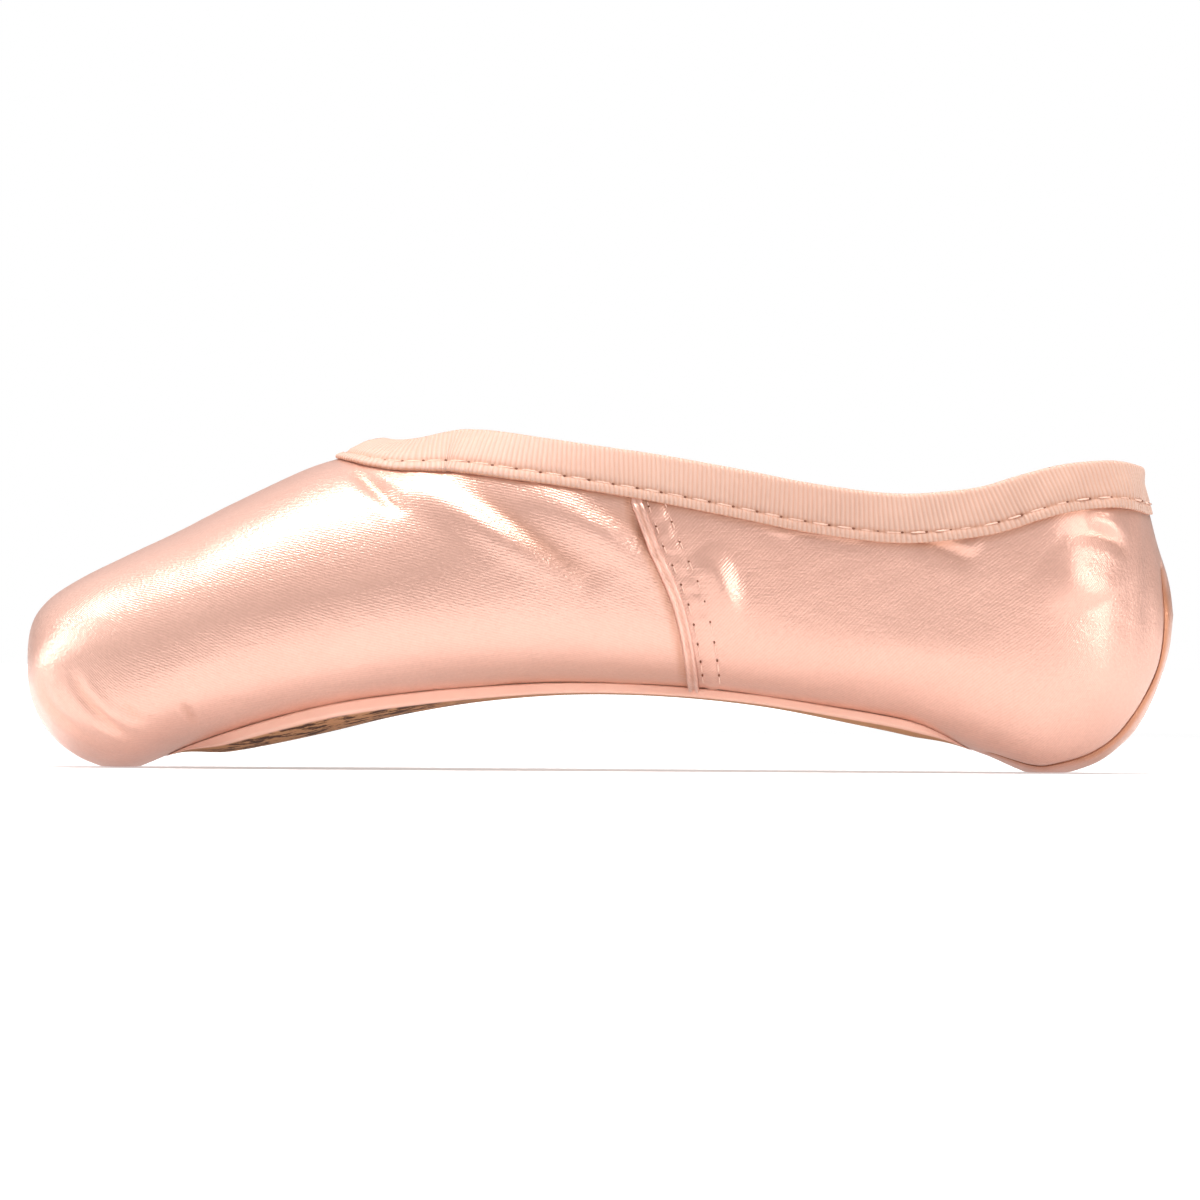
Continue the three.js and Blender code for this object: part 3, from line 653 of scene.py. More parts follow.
# Distance from each point to a curve of few steps, and where along it, from 0 to 1
def curveDistance(points, curve):
    best = np.full(len(points), 1e9)
    where = np.zeros(len(points))
    count = len(curve) - 1
    for i in range(count):
        a, b = curve[i], curve[i + 1]
        run = b - a
        share = np.clip(((points - a) @ run) / max(run @ run, 1e-12), 0, 1)
        gap = np.linalg.norm(points - a - share[:, None] * run, axis=1)
        nearer = gap < best
        best = np.where(nearer, gap, best)
        where = np.where(nearer, (i + share) / count, where)
    return best, where


# Distance from each point to a path of many steps
def pathGap(points, path, most=0.01):
    travel = travelAlong(path)
    dense = readPath(path, travel, np.linspace(0, travel[-1], int(travel[-1] / 0.0003) + 2))
    tree = KDTree(len(dense))
    for i, spot in enumerate(dense):
        tree.insert(spot, i)
    tree.balance()
    gap = np.full(len(points), most)
    low, high = dense.min(0) - most, dense.max(0) + most
    near = np.nonzero(np.all((points > low) & (points < high), axis=1))[0]
    for i in near:
        gap[i] = min(tree.find(points[i])[2], most)
    return gap


faintest, darkest = 0.0004, 0.0012  # troughs shallower than the first aren't shaded, from the second on fully


def creaseField(points):
    lift = np.zeros(len(points))
    shade = np.zeros(len(points))
    for height, width, shoulder, line in creases:
        curve = lastPoint(*creaseCurve(line))
        reach = width * 4
        for cloud in (points, points * mirror):
            near = np.all((cloud > curve.min(0) - reach) & (cloud < curve.max(0) + reach), axis=1)
            if not near.any():
                continue
            gap, where = curveDistance(cloud[near], curve)
            taper = np.sin(np.pi * np.clip(where, 0.001, 0.999)) ** 0.9
            cross = gap / width
            lift[near] += height * taper * (bell(cross, 1) - shoulder * bell(cross - 1.9, 1))
            if height < -faintest:
                shade[near] += taper * bell(cross * 1.3, 1) * min(-height / darkest, 1)
    return lift, shade


# Outlines of the outsole and the sock: at, half as a share of half the width, skive
soleRows = [
    [0.120, 0.55, 0.45], [0.160, 0.70, 0.80], [0.210, 0.90, 0.97], [0.270, 1.00, 1.00], [0.340, 0.88, 1.00],
    [0.410, 0.72, 0.93], [0.490, 0.62, 0.83], [0.570, 0.58, 0.75], [0.650, 0.57, 0.70], [0.730, 0.60, 0.70],
    [0.790, 0.58, 0.65], [0.826, 0.52, 0.50],
]
insoleRows = [
    [0.100, 0.82, 1], [0.180, 0.95, 1], [0.280, 1.00, 1], [0.400, 0.90, 1],
    [0.540, 0.72, 1], [0.700, 0.63, 1], [0.840, 0.57, 1], [0.940, 0.48, 1],
]


soleRound = 0.015


def padReach(rows, width, roundTip, roundEnd, at, least=0.05):
    toTip = np.clip((at - rows[0][0]) * shoe["length"] / roundTip, 0, 1)
    toEnd = np.clip((rows[-1][0] - at) * shoe["length"] / roundEnd, 0, 1)
    rounding = np.sqrt((1 - (1 - toTip) ** 2) * (1 - (1 - toEnd) ** 2))
    return makeReader(rows)(at) * width / 2 * np.maximum(rounding, least)


def turnUnder(place, off):
    turn = solveRising(lambda t: lastPoint(place, t)[..., 1], np.abs(off), 0, math.pi / 2)
    return np.sign(off) * turn


# How far a point of the underside lies outside the outsole, in metres; below zero is under the leather
def outsideSole(points):
    at = toAt(points[:, 0])
    inside = np.clip(at, soleRows[0][0], soleRows[-1][0])
    across = np.abs(points[:, 1]) - padReach(soleRows, shoe["soleWidth"], soleRound, soleRound, inside)
    beyond = np.abs(at - inside) * shoe["length"]
    return np.hypot(np.maximum(across, 0), beyond) + np.minimum(across, 0)


# Pleats under the toe and the heel: centre, count, and 1 where they fan forward
pleats = {"fans": ((0.175, 34, 1), (0.775, 30, -1)), "depth": 0.0005, "reach": 0.012}


def pleatField(points, normals):
    gap = outsideSole(points)
    down = smoothstep(0.15, 0.75, -normals[:, 2])
    lift = np.zeros(len(points))
    for centre, count, ahead in pleats["fans"]:
        dx = (points[:, 0] - toX(centre)) * ahead
        angle = np.arctan2(points[:, 1], np.maximum(dx, 1e-4))
        fold = 1 - np.abs(np.sin(angle * count / 2 + 0.6 * np.sin(angle * 3))) ** 0.7
        fade = np.exp(-np.maximum(gap, 0) / pleats["reach"]) * down * smoothstep(0.004, 0.02, dx)
        lift -= pleats["depth"] * fold * fade
    return lift


# The satin is pulled over paste and canvas: faint, irregular hollows and swellings all over
def unevenness(points):
    x, y, z = points.T
    soft = np.sin(x * 190 + 2.1 * np.sin(z * 97 + 0.7) + y * 60)
    soft += 0.7 * np.sin(z * 230 + 1.7 * np.sin(x * 83) - y * 90)
    fine = np.sin(x * 520 + 2.6 * np.sin(z * 310) + y * 210) * np.sin(z * 470 - x * 150 + y * 130)
    return 0.00004 * soft + 0.000025 * fine


# The collar edge as an even path, with the way down from it
def collarFrames(count=240):
    places = throatPlace + (backPlace - throatPlace) * easedShares(1600)
    turns = collarTurn(places)
    points = lastPoint(places, turns)
    points[[0, -1], 1] = 0
    travel = travelAlong(points)
    even = np.linspace(0, travel[-1], count + 1)
    place, turn = np.interp(even, travel, places), np.interp(even, travel, turns)
    points = lastPoint(place, turn)
    ahead = np.concatenate([points[1:], points[-2:-1] * mirror])
    behind = np.concatenate([points[1:2] * mirror, points[:-1]])
    down = unit(np.cross(unit(ahead - behind), lastNormal(place, turn)))
    heart = lastPoint(heartPlace, math.pi)
    down = np.where(np.sum(down * (heart - points), axis=1, keepdims=True) > 0, -down, down)
    return place, turn, down, travel[-1]


bindingFrames = collarFrames()


# Points of the left half of the binding at a drop below its edge and a distance off the last
def bindingLine(drop, out):
    place, turn, down, length = bindingFrames
    if drop <= 0:
        return skin(place, turn, np.broadcast_to(out, place.shape)) + down * drop
    off = toAt(lastPoint(place, turn)[:, 0]) - tape["wideAt"]
    wider = tape["frontShare"] * bell(np.linspace(0, length, len(place)), tape["frontReach"])
    wider += tape["wideShare"] * bell(off, np.where(off < 0, *tape["wideReach"]))
    place, turn = walkOver(place, turn, down, drop * (1 + wider))
    return skin(place, turn, np.broadcast_to(out, place.shape))


def mirrorLoop(half):
    return np.concatenate([half, half[-2:0:-1] * mirror])


# The side seam, from the outsole up to the binding
seam = {
    "width": 0.0022,
    "height": 0.0009,
    "stitchRows": (0.0021, 0.0055),  # behind the ridge
    "pitch": 0.0042,
}
seamRows = [[0.0, 0.582], [0.25, 0.5785], [0.5, 0.569], [0.75, 0.551], [1.0, 0.531]]


def seamPath(count=90, topCut=0.0, bottomCut=0.0, step=0.01):
    read = makeReader(seamRows)
    soleAt, topAt = seamRows[0][1], seamRows[-1][1]
    solePlace = solveRising(lambda p: hermite(lastTable["lowAt"], p), soleAt, 0, lastRow)
    soleHalf = makeReader(soleRows)(soleAt) * shoe["soleWidth"] / 2
    bottom = float(turnUnder(solePlace, soleHalf + shoe["fit"] * 3))
    lower = bindingLine(tape["width"], shoe["fit"])
    order = np.argsort(toAt(lower[:, 0]))
    edge = np.interp(topAt, toAt(lower[order, 0]), lower[order, 2]) - shoe["fit"] - seam["width"] * 0.3
    whole = float(sideSpot(topAt, edge)[1]) - bottom
    climb = np.linspace(bottomCut, 1 - topCut, count)
    turn = bottom + whole * climb
    place = placeAt(read(climb), turn)
    ahead = placeAt(read(np.minimum(climb + step, 1 + step)), turn + whole * step)
    run = unit(lastPoint(ahead, turn + whole * step) - lastPoint(place, turn))
    return place, turn, unit(np.cross(run, lastNormal(place, turn)))


# Small swellings between the stitches behind the side seam, with the cloth drawn in at each row
def puckerField(points, spots):
    lift = np.zeros(len(points))
    near, far = seam["stitchRows"]
    rows = lastPoint(*walkOver(*spots, (near + far) / 2, 6))
    span = travelAlong(rows)[-1]
    reach = 0.006
    close = np.nonzero(np.all((points > rows.min(0) - reach) & (points < rows.max(0) + reach), axis=1))[0]
    gap, where = curveDistance(points[close], rows)
    swell = 0.5 + 0.5 * np.cos(2 * math.pi * where * span / seam["pitch"] + 0.8 * np.sin(where * 23))
    apart = (far - near) / 2
    between, drawn = bell(gap, apart * 0.75), bell(gap - apart, 0.0006)
    lift[close] = 0.00022 * between * (0.5 + swell) - 0.00020 * drawn * (0.6 + 0.4 * swell)
    return lift


# Upper: the outer skin and the lining as one closed wall
upper = {"front": 130, "open": 210, "back": 46, "around": 92, "liningAround": 20}

# Painted shade on the satin, along creases, the sole's edge, the arch, the tape's edge, the seams and over
# the back strip: strength, and reach where they fade out
shades = {
    "crease": 0.45,
    "soleEdge": (0.4, 0.0016),
    "arch": (0.42, 0.010),
    "tapeEdge": (0.5, 0.0008),
    "sideSeam": (0.55, 0.0009),
    "backSeam": (0.75, 0.0009),
    "backStrip": 0.5,
}
backGroove, backRise = 0.0005, 0.0002


def upperPlaces():
    fine = np.linspace(0, lastRow, 1500)
    length = travelAlong(lastPoint(fine, np.full(fine.shape, 2.0)))
    along = lambda place: np.interp(place, fine, length)
    back = lambda distance: np.interp(distance, length, fine)
    front = back(np.linspace(0, along(throatPlace), upper["front"] + 1))
    mixed = 0.55 * easedShares(upper["open"] + 1) + 0.45 * np.linspace(0, 1, upper["open"] + 1)
    middle = back(along(throatPlace) + mixed * (along(backPlace) - along(throatPlace)))
    rear = back(np.linspace(along(backPlace), along(lastRow), upper["back"] + 1))
    return np.concatenate([front, middle[1:], rear[1:]]), along


# How far the satin is lifted off the last, and its marks: shadow, and 1 behind the side seam
def satinField(flat, normals):
    mirrored = flat * mirror
    at = toAt(flat[:, 0])
    lift, shade = creaseField(flat)
    lift += pleatField(flat, normals) + unevenness(flat)
    lift *= smoothstep(-0.0005, 0.0035, flat[:, 2])
    shade *= shades["crease"]

    def darken(name, gap, mask=1.0):
        strength, reach = shades[name]
        return strength * bell(gap, reach) * mask

    gap = np.maximum(outsideSole(flat), 0)
    strength, reach = shades["soleEdge"]
    shade += strength * np.exp(-gap / reach) * smoothstep(0.0, 0.6, 0.35 - normals[:, 2])
    shade += darken("arch", gap, smoothstep(0.34, 0.43, at) * smoothstep(0.60, 0.54, at))
    tapeEdge = mirrorLoop(bindingLine(tape["width"] + 0.0002, 0.0))
    shade += darken("tapeEdge", pathGap(flat, np.concatenate([tapeEdge, tapeEdge[:1]])))
    place, turn, across = seamPath()
    beside = lastPoint(*walkOver(place, turn, -across, 0.0017, 5))
    shade += darken("sideSeam", np.minimum(pathGap(flat, beside), pathGap(mirrored, beside)))
    heelLine = lastPoint(*creaseCurve(backSeam, 80))
    heelGap = np.minimum(pathGap(flat, heelLine), pathGap(mirrored, heelLine))
    shade += darken("backSeam", heelGap)
    lift -= backGroove * bell(heelGap, shades["backSeam"][1])

    rear = heelLine[heelLine[:, 0] < heelLine[np.argmin(heelLine[:, 2]), 0]]
    within = np.interp(flat[:, 2], rear[:, 2], rear[:, 1]) - np.abs(flat[:, 1])
    onStrip = smoothstep(0, 0.0005, within) * smoothstep(0.90, 0.94, at)
    onStrip *= smoothstep(0.043, 0.034, flat[:, 2])
    shade = np.clip(shade + shades["backStrip"] * onStrip, 0, 1)
    lift += backRise * onStrip

    spots = (place, turn, across)
    lift += puckerField(flat, spots) + puckerField(mirrored, spots)
    seamSide = lastPoint(place, turn)
    quarter = (flat[:, 0] < np.interp(flat[:, 2], seamSide[:, 2], seamSide[:, 0])).astype(float)
    under = bindingLine(tape["width"], 0.0)
    order = np.argsort(under[:, 0])
    below = np.interp(flat[:, 0], under[order, 0], under[order, 2]) - flat[:, 2]
    lift = np.minimum(lift, 0.00005 + 0.3 * np.maximum(below, 0))
    return lift, shade, quarter


def spreadTurns(places, top, around):
    turns = top[:, None] * np.linspace(-1, 1, 2 * around + 1)[None, :]
    return np.broadcast_to(places[:, None], turns.shape), turns


def makeUpper():
    places, along = upperPlaces()
    top = collarTurn(places)
    grid, turns = spreadTurns(places, top, upper["around"])
    outer = lastPoint(grid, turns)
    steps = np.linalg.norm(np.diff(outer, axis=1), axis=2)
    girth = np.concatenate([np.zeros((len(places), 1)), np.cumsum(steps, axis=1)], axis=1)
    girth -= girth[:, upper["around"]][:, None]
    flat, normals = outer.reshape(-1, 3), lastNormal(grid, turns).reshape(-1, 3)
    lift, shade, quarter = satinField(flat, normals)
    satinPoints = flat + normals * lift[:, None]
    satinPoints[:, 2] = np.maximum(satinPoints[:, 2], 0.0)
    liningGrid, liningTurns = spreadTurns(places, top, upper["liningAround"])
    inside = skin(liningGrid, liningTurns, np.full(liningTurns.shape, -shoe["wall"])).reshape(-1, 3)
    (rows, columns), innerColumns = turns.shape, liningTurns.shape[1]
    start = rows * columns
    faces = gridFaces(rows, columns)
    inner = [tuple(reversed(face)) for face in gridFaces(rows, innerColumns, start)]
    rim = []
    for i in range(rows - 1):
        if top[i] > math.pi - 1e-9 and top[i + 1] > math.pi - 1e-9:
            continue
        a, b = i * columns, (i + 1) * columns
        c, d = start + i * innerColumns, start + (i + 1) * innerColumns
        rim.append((a, c, d, b))
        rim.append((a + columns - 1, b + columns - 1, d + innerColumns - 1, c + innerColumns - 1))
    uvs = np.concatenate([
        np.stack([np.broadcast_to(along(places)[:, None], turns.shape).ravel(), girth.ravel()], axis=1),
        np.stack([inside[:, 0], inside[:, 1] + inside[:, 2]], axis=1),
    ])
    plain = np.zeros(len(inside))
    marks = {"shadow": np.concatenate([shade, plain]), "quarter": np.concatenate([quarter, plain])}
    slots = [0] * len(faces) + [1] * len(inner) + [0] * len(rim)
    points = np.concatenate([satinPoints, inside])
    materials = [satinMaterial, liningMaterial]
    piece = makeObject("upperSatin", points, faces + inner + rim, materials, uvs, marks, slots)
    return addPiece(piece, "satin", "upper")


makeUpper()
print("upper ready")


# Binding: the tape in section, as drop below the collar edge and distance off the last
def bindingSection():
    width, fit, low, face = tape["width"], shoe["fit"], tape["off"], tape["face"]
    dent = width - tape["stitchFromEdge"]
    section = [(width, low), (width + 0.00005, low + (face - low) * 0.5), (width - 0.00015, face)]
    section += [(drop, face + 0.0001) for drop in np.linspace(width - 0.0006, width - 0.0015, 3)]
    section += [(dent + 0.00035, face - 0.00005), (dent, face - 0.0003), (dent - 0.00035, face - 0.0001)]
    for drop in np.linspace(dent - 0.0008, 0.0009, 7):
        section.append((drop, face + 0.0001 * smoothstep(0, 0.004, drop)))
    section.append((0.0002, face))
    half, middle = (face - innerBack) / 2, (face + innerBack) / 2
    for angle in np.radians(np.linspace(15, 165, 8)):
        section.append((-(fit + tape["thickness"]) * math.sin(angle), middle + half * math.cos(angle)))
    section += [(drop, innerBack) for drop in np.linspace(0.0002, width, 5)]
    section += [(width, innerFace), (width * 0.5, innerFace), (0, innerFace), (-fit, innerFace + fit)]
    return section + [(-fit, 0), (0, low), (width * 0.5, low)]


ripple = {"stitch": 0.00012, "slack": 0.00025, "slackPitch": 0.017, "backThin": 0.6}


def makeBinding():
    section = bindingSection()
    drops = np.array([drop for drop, _ in section])
    length = bindingFrames[3]
    travel = np.linspace(0, length, len(bindingFrames[0]))
    rear = smoothstep(0.45, 0.75, travel / length)
    atBack = smoothstep(length - 0.016, length - 0.003, travel)
    pucker = np.sin(travel * 2 * math.pi / tape["stitchPitch"]) * (0.4 + 0.6 * rear)
    dent = tape["width"] - tape["stitchFromEdge"]
    rings, shade = [], []
    for drop, out in section:
        shift = np.zeros(len(travel))
        if out > 0:
            slack = np.sin(travel * 2 * math.pi / ripple["slackPitch"] + drop * 300) * rear
            shift = ripple["stitch"] * pucker * smoothstep(0.0, 0.006, drop)
            shift += ripple["slack"] * slack * smoothstep(0.001, 0.004, drop)
            shift -= ripple["backThin"] * max(out - tape["off"], 0) * atBack * smoothstep(0.0, 0.003, drop)
        rings.append(mirrorLoop(bindingLine(drop, out + shift)))
        shade.append(0.45 * bell(drop - dent, 0.0004) + 0.6 * (drop >= tape["width"]) if out > 0 else 0.0)
    loops = np.stack(rings, axis=1)
    rows, columns = loops.shape[:2]
    knot = bell(loops[..., 0] - tape["knotAt"], tape["knotWidth"])
    loops[..., 2] += tape["knotHeight"] * knot * smoothstep(0.010, 0.001, drops)[None]
    uvs = gridUvs(np.concatenate([travel, 2 * length - travel[-2:0:-1]]), drops)
    marks = {"shadow": np.tile(shade, rows)}
    faces = gridFaces(rows, columns, 0, True, True)
    piece = makeObject("bindingTape", loops.reshape(-1, 3), faces, [tapeMaterial], uvs, marks)
    return addPiece(piece, "binding_tape", "binding")


makeBinding()
print("binding ready")


# Stitches: a row of short threads, or of dark dots of painted shade at the needle holes, along a path
def makeStitchTree():
    tree = bpy.data.node_groups.new("stitchRow", "GeometryNodeTree")
    face = tree.interface
    face.new_socket("Geometry", in_out="OUTPUT", socket_type="NodeSocketGeometry")
    face.new_socket("Geometry", in_out="INPUT", socket_type="NodeSocketGeometry")
    for name in ("Pitch", "Length", "Thickness"):
        face.new_socket(name, in_out="INPUT", socket_type="NodeSocketFloat")
    face.new_socket("Material", in_out="INPUT", socket_type="NodeSocketMaterial")
    source, result = addNode(tree, "NodeGroupInput"), addNode(tree, "NodeGroupOutput")
    curve = addNode(tree, "GeometryNodeMeshToCurve")
    sample = addNode(tree, "GeometryNodeResampleCurve", mode="LENGTH")
    tangent = addNode(tree, "GeometryNodeInputTangent")
    turn = addNode(tree, "FunctionNodeAlignRotationToVector", axis="X")
    thread = addNode(tree, "GeometryNodeMeshUVSphere", Segments=8, Rings=6, Radius=0.5)
    size = addNode(tree, "ShaderNodeCombineXYZ")
    place = addNode(tree, "GeometryNodeInstanceOnPoints")
    realize = addNode(tree, "GeometryNodeRealizeInstances")
    smooth = addNode(tree, "GeometryNodeSetShadeSmooth")
    dress = addNode(tree, "GeometryNodeSetMaterial")
    for giver, output, taker, socket in (
        (source, "Geometry", curve, "Mesh"), (curve, 0, sample, "Curve"), (source, "Pitch", sample, "Length"),
        (sample, 0, place, "Points"), (tangent, 0, turn, "Vector"), (turn, 0, place, "Rotation"),
        (thread, "Mesh", place, "Instance"), (source, "Length", size, "X"), (source, "Thickness", size, "Y"),
        (source, "Thickness", size, "Z"), (size, 0, place, "Scale"), (place, 0, realize, 0),
        (realize, 0, smooth, 0), (smooth, 0, dress, 0), (source, "Material", dress, "Material"),
        (dress, 0, result, 0),
    ):
        tree.links.new(giver.outputs[output], taker.inputs[socket])
    return tree


stitchTree = makeStitchTree()


def makeStitches(name, paths, material, pitch, length, thickness, slotName):
    points, edges = [], []
    for path in paths:
        start = len(points)
        points += [tuple(p) for p in path]
        edges += [(start + i, start + i + 1) for i in range(len(path) - 1)]
    mesh = bpy.data.meshes.new(name + "Path")
    mesh.from_pydata(points, edges, [])
    guide = placeObject(name + "Path", mesh)
    modifier = guide.modifiers.new("stitches", "NODES")
    modifier.node_group = stitchTree
    values = {"Pitch": pitch, "Length": length, "Thickness": thickness, "Material": material}
    for item in stitchTree.interface.items_tree:
        if item.in_out == "INPUT" and item.name in values:
            modifier[item.identifier] = values[item.name]
    graph = bpy.context.evaluated_depsgraph_get()
    made = bpy.data.meshes.new_from_object(guide.evaluated_get(graph))
    guide.modifiers.remove(modifier)
    bpy.data.objects.remove(guide)
    made.name = name
    if not made.materials:
        made.materials.append(material)
    return addPiece(placeObject(name, made), slotName)


# The path in even steps, begun some way along
def shiftPath(path, distance):
    travel = travelAlong(path)
    return readPath(path, travel, np.arange(distance, travel[-1], 0.0005))


# Material, length and thickness of the stitches, and of the dark dots of painted shade at the needle holes
# halfway between them
stitches = {
    "bindingStitches": (threadMaterial, 0.0036, 0.00036),
    "bindingHoles": (holeShadeMaterial, 0.00065, 0.00048),
    "seamStitches": (threadMaterial, 0.0028, 0.0003),
    "seamHoles": (holeShadeMaterial, 0.0006, 0.00042),
}


def makeRow(kind, paths, pitch, slotName, ending=""):
    for part, begin in (("Stitches", 0), ("Holes", pitch / 2)):
        material, length, thickness = stitches[kind + part]
        shifted = [shiftPath(path, begin) for path in paths]
        makeStitches(kind + part + ending, shifted, material, pitch, length, thickness, slotName)


bindingStitch = mirrorLoop(bindingLine(tape["width"] - tape["stitchFromEdge"], tape["face"] - 0.00022))
bindingStitch = np.concatenate([bindingStitch, bindingStitch[:1]])
makeRow("binding", [bindingStitch], tape["stitchPitch"], "binding_tape")


# Side seams: the ridge in section, as share of the width and of the height
seamSection = [
    (-0.5, 0), (-0.2, 0), (0.2, 0), (0.5, 0), (0.53, 0.35), (0.47, 0.75), (0.33, 1),
    (0.18, 0.8), (0.08, 0.45), (-0.05, 0.45), (-0.16, 0.8), (-0.32, 0.95), (-0.47, 0.7), (-0.53, 0.3),
]


def makeSeams():
    place, turn, across = seamPath(topCut=-0.06)
    count = len(place)
    flatten = 1 - 0.75 * smoothstep(0.90, 0.96, np.linspace(0, 1, count))
    wobble = 0.00006 * np.sin(np.linspace(0, 55, count))
    rings = []
    for share, rise in seamSection:
        there = walkOver(place, turn, across, share * seam["width"], 4)
        rings.append(skin(*there, (shoe["fit"] + seam["height"] * rise + wobble * (rise > 0)) * flatten))
    left = np.stack(rings, axis=1)
    columns = len(seamSection)
    faces = gridFaces(count, columns, 0, False, True) + capFaces(count, columns)
    shares = np.array([share for share, _ in seamSection])
    uvs = gridUvs(np.linspace(0, 0.04, count), shares * seam["width"])
    shade = [0.4 * bell(share - 0.01, 0.09) if rise > 0 else 0.5 for share, rise in seamSection]
    marks = {"shadow": np.tile(shade, count)}
    for side, name, node in ((1, "sideSeamLeft", "side_seam_left"), (-1, "sideSeamRight", "side_seam_right")):
        points = (left * np.array([1, side, 1])).reshape(-1, 3)
        piece = makeObject(name, points, faces, [satinMaterial], uvs, marks)
        addPiece(piece, "seam_satin", node)
    stitched = seamPath(140, 0.02, 0.12)
    for distance, ending in zip(seam["stitchRows"], ("Near", "Far")):
        path = skin(*walkOver(*stitched, distance, 6), np.full(140, 0.00008))
        makeRow("seam", [path, path * mirror], seam["pitch"], "seam_satin", ending)


makeSeams()
print("seams ready")


# Outsole and sock: a ring of shares of the half width, on the upper side, down the edge and on the lower side
def makePad(name, rows, width, roundTip, roundEnd, section, material, slotName, node, thinEnds=0.0):
    count, across = 150, 36
    ats = rows[0][0] + (rows[-1][0] - rows[0][0]) * easedShares(count)
    place = solveRising(lambda p: hermite(lastTable["lowAt"], p), ats, 0, lastRow)
    reach = padReach(rows, width, roundTip, roundEnd, ats)
    fromEnd = np.minimum(ats - rows[0][0], rows[-1][0] - ats) * shoe["length"]
    skive = makeReader(rows, 2)(ats) * (1 - thinEnds * (1 - smoothstep(0, 0.013, fromEnd)))
    lower, higher, edge = section
    sine = np.sin(np.linspace(-1, 1, across) * math.pi / 2)
    ring = [(s, 0) for s in sine] + [(1.0, part) for part in edge]
    ring += [(s, 1) for s in sine[::-1] * 0.975] + [(-1.0, part) for part in edge[::-1]]
    lines, dyed = [], []
    for share, part in ring:
        out = higher(skive) + (lower(skive) - higher(skive)) * part
        lines.append(skin(place, turnUnder(place, reach * share), out))
        fromEdge = reach * (1 - abs(share))
        dyed.append(smoothstep(0.0020, 0.0010, fromEdge) if part == 1 else np.ones(count))
    grid = np.stack(lines, axis=1)
    columns = len(ring)
    faces = gridFaces(count, columns, 0, False, True) + capFaces(count, columns)
    points = grid.reshape(-1, 3)
    scuffed = smoothstep(0.13, 0.19, ats) * smoothstep(0.42, 0.34, ats)
    marks = {"dyed": np.stack(dyed, axis=1).ravel(), "scuff": np.repeat(scuffed, columns)}
    piece = makeObject(name, points, faces, [material], points[:, :2], marks)
    return addPiece(piece, slotName, node)


contact = 0.0001  # from the satin to the back of the leather
soleSection = (
    lambda skive: contact + (shoe["fit"] + shoe["soleThickness"]) * skive,
    lambda skive: np.full(skive.shape, contact),
    [0.2, 0.5, 0.8, 0.95],
)
makePad(
    "soleLeather", soleRows, shoe["soleWidth"], soleRound, soleRound, soleSection,
    leatherMaterial, "sole_leather", "outsole", 0.92,
)
sock = {"loose": 0.0006, "thickness": 0.0012, "width": 0.058, "roundTip": 0.024, "roundEnd": 0.020}
sockOut = -shoe["wall"] - sock["loose"]
sockSection = (
    lambda skive: np.full(skive.shape, sockOut),
    lambda skive: np.full(skive.shape, sockOut - sock["thickness"]),
    [0.3, 0.7],
)
makePad(
    "sock", insoleRows, sock["width"], sock["roundTip"], sock["roundEnd"], sockSection,
    liningMaterial, "sock", "insole",
)
print("sole and sock ready")

# Back seam: a dark line of painted shade, sunk along both edges of the back strip where the seam's gap lies
backLine = {"steps": 110, "sides": 8, "radius": 0.00026, "flat": 0.45, "sunk": -0.00038}


def makeBackSeam():
    steps, sides = backLine["steps"], backLine["sides"]
    place, turn = creaseCurve(backSeam, steps)
    points = skin(place, turn, np.full(steps, backLine["sunk"]))
    normal = lastNormal(place, turn)
    across = unit(np.cross(unit(np.gradient(points, axis=0)), normal))
    size = backLine["radius"] * np.sin(np.linspace(0.05, math.pi - 0.05, steps))[:, None] ** 0.5
    rings = [
        points + size * (across * math.cos(angle) + normal * math.sin(angle) * backLine["flat"])
        for angle in np.linspace(0, 2 * math.pi, sides, endpoint=False)
    ]
    half = np.stack(rings, axis=1).reshape(-1, 3)
    faces = gridFaces(steps, sides, 0, False, True) + capFaces(steps, sides)
    faces += [tuple(len(half) + i for i in reversed(face)) for face in faces]
    piece = makeObject("backSeam", np.concatenate([half, half * mirror]), faces, [seamShadeMaterial])
    return addPiece(piece, "seam_satin")


makeBackSeam()
print("back seam ready")


# Stage and light
studio = {
    "horizon": 0.24,
    "overhead": 0.72,
    "floorGlow": 0.40,
    "farGlow": 1.0,
    "glowFrom": 1.0,
    "glowTo": 2.4,
    "floorHalf": 6,
    "floorZ": -0.0002,
}
lamps = {
    "softbox": {"power": 16.0, "size": (1.3, 0.38), "at": (0.05, 0.1, 0.95), "aim": (0, 0, 0.03)},
    "toeLamp": {"power": 8.0, "size": (0.5, 0.6), "at": (1.35, 0.15, 0.42), "aim": (0.1, 0, 0.03)},
    "heelLamp": {"power": 11.0, "size": (0.7, 0.7), "at": (-1.5, 1.2, 0.26), "aim": (-0.09, 0, 0.03)},
}


def addGradient(tree, value, fromMin, fromMax, toMin, toMax, socket):
    ramp = addNode(tree, "ShaderNodeMapRange", interpolation_type="SMOOTHSTEP")
    setInputs(ramp, From_Min=fromMin, From_Max=fromMax, To_Min=toMin, To_Max=toMax)
    tree.links.new(value, ramp.inputs["Value"])
    tree.links.new(ramp.outputs[0], socket)


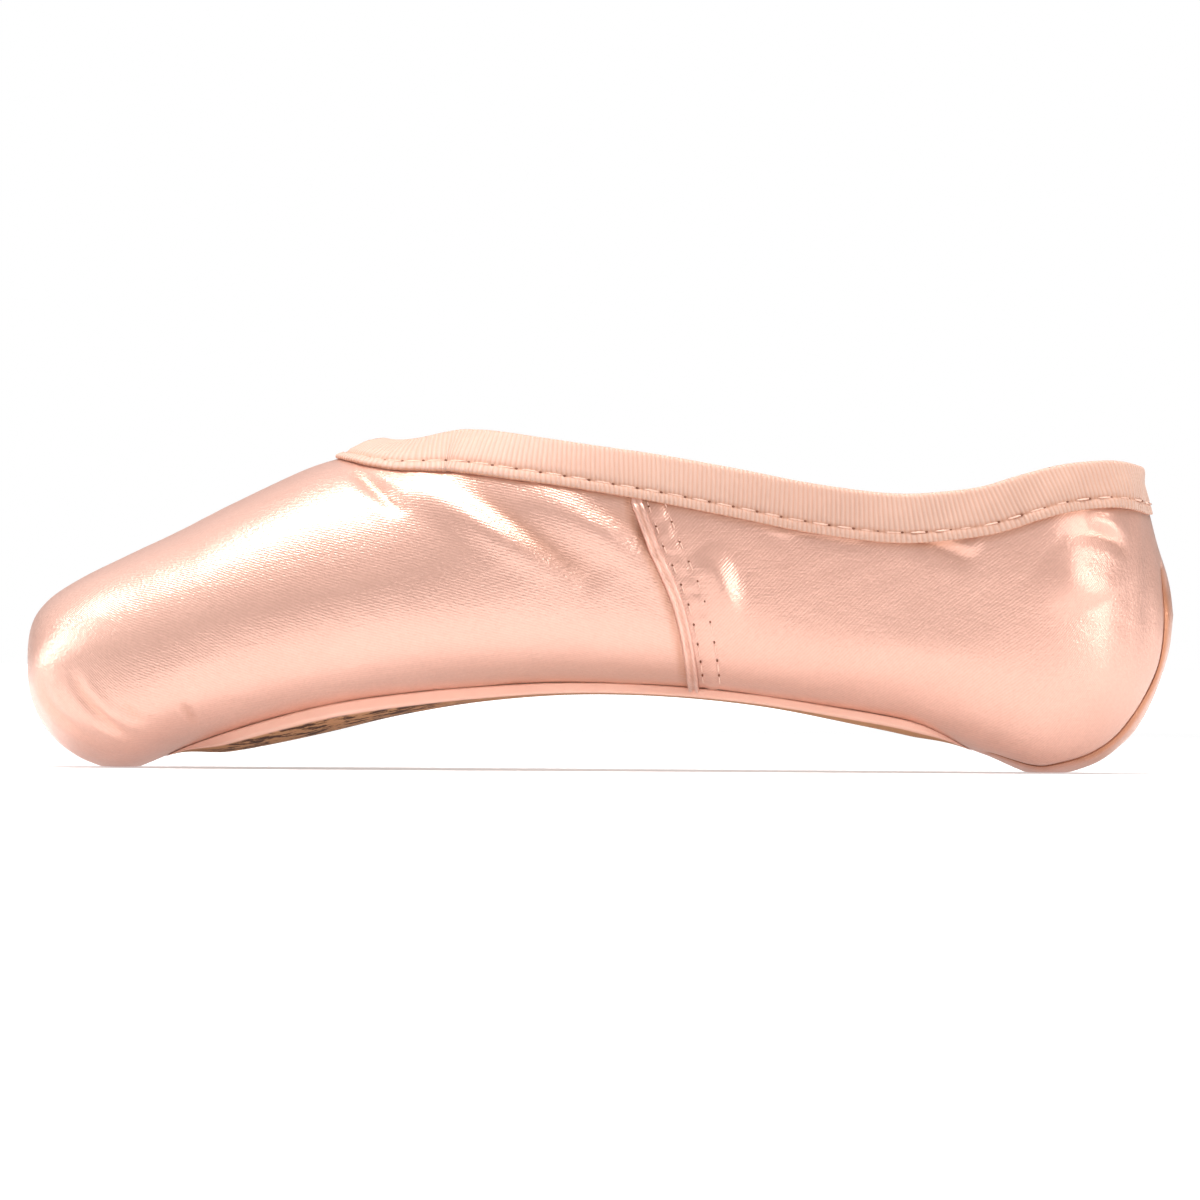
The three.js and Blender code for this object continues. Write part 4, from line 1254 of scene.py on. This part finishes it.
# Pale floor that glows more with the distance, so that its far end meets the white backdrop
def makeStage():
    material, tree, shader = startMaterial("paleFloor")
    cloud = addNoise(tree, readObject(tree), 3.0, 2.0)
    paint(tree, shader, mixColours(tree, cloud, (0.60, 0.60, 0.60), (0.64, 0.64, 0.64)), Roughness=0.8)
    setInputs(shader, Specular_IOR_Level=0.1, Emission_Color=(1, 1, 1, 1))
    away = addNode(tree, "ShaderNodeVectorMath", operation="LENGTH")
    tree.links.new(readObject(tree), away.inputs[0])
    glow = (studio["glowFrom"], studio["glowTo"], studio["floorGlow"], studio["farGlow"])
    addGradient(tree, away.outputs["Value"], *glow, shader.inputs["Emission Strength"])
    half = studio["floorHalf"]
    corners = [(x * half, y * half, studio["floorZ"]) for x, y in ((-1, -1), (1, -1), (1, 1), (-1, 1))]
    mesh = bpy.data.meshes.new("floor")
    mesh.from_pydata(corners, [], [(0, 1, 2, 3)])
    mesh.materials.append(material)
    floor = placeObject("floor", mesh)


makeStage()
for lampName, lamp in lamps.items():
    lampData = bpy.data.lights.new(lampName, "AREA")
    lampData.shape = "RECTANGLE"
    lampData.size, lampData.size_y = lamp["size"]
    lampData.energy = lamp["power"]
    light = placeObject(lampName, lampData)
    light.location = lamp["at"]
    light.rotation_euler = (Vector(lamp["aim"]) - Vector(lamp["at"])).to_track_quat("-Z", "Y").to_euler()


# Soft room light: dim level with the shoe, bright from above, and white where the camera looks past it
def makeWorld():
    world = bpy.data.worlds.new("studio")
    world.use_nodes = True
    tree = world.node_tree
    background = tree.nodes["Background"]
    split = addNode(tree, "ShaderNodeSeparateXYZ")
    tree.links.new(addNode(tree, "ShaderNodeTexCoord").outputs["Generated"], split.inputs[0])
    spread = (0.05, 0.75, studio["horizon"], studio["overhead"])
    addGradient(tree, split.outputs["Z"], *spread, background.inputs["Strength"])
    backdrop = addNode(tree, "ShaderNodeBackground", Strength=1.0)
    for node in (background, backdrop):
        setInputs(node, Color=(1, 1, 1, 1))
    choose = addNode(tree, "ShaderNodeMixShader")
    cameraRay = addNode(tree, "ShaderNodeLightPath").outputs["Is Camera Ray"]
    for i, value in enumerate((cameraRay, background.outputs[0], backdrop.outputs[0])):
        tree.links.new(value, choose.inputs[i])
    tree.links.new(choose.outputs[0], tree.nodes["World Output"].inputs["Surface"])
    bpy.context.scene.world = world


makeWorld()
bpy.context.scene.view_settings.view_transform = "Standard"

print("ready to finish")
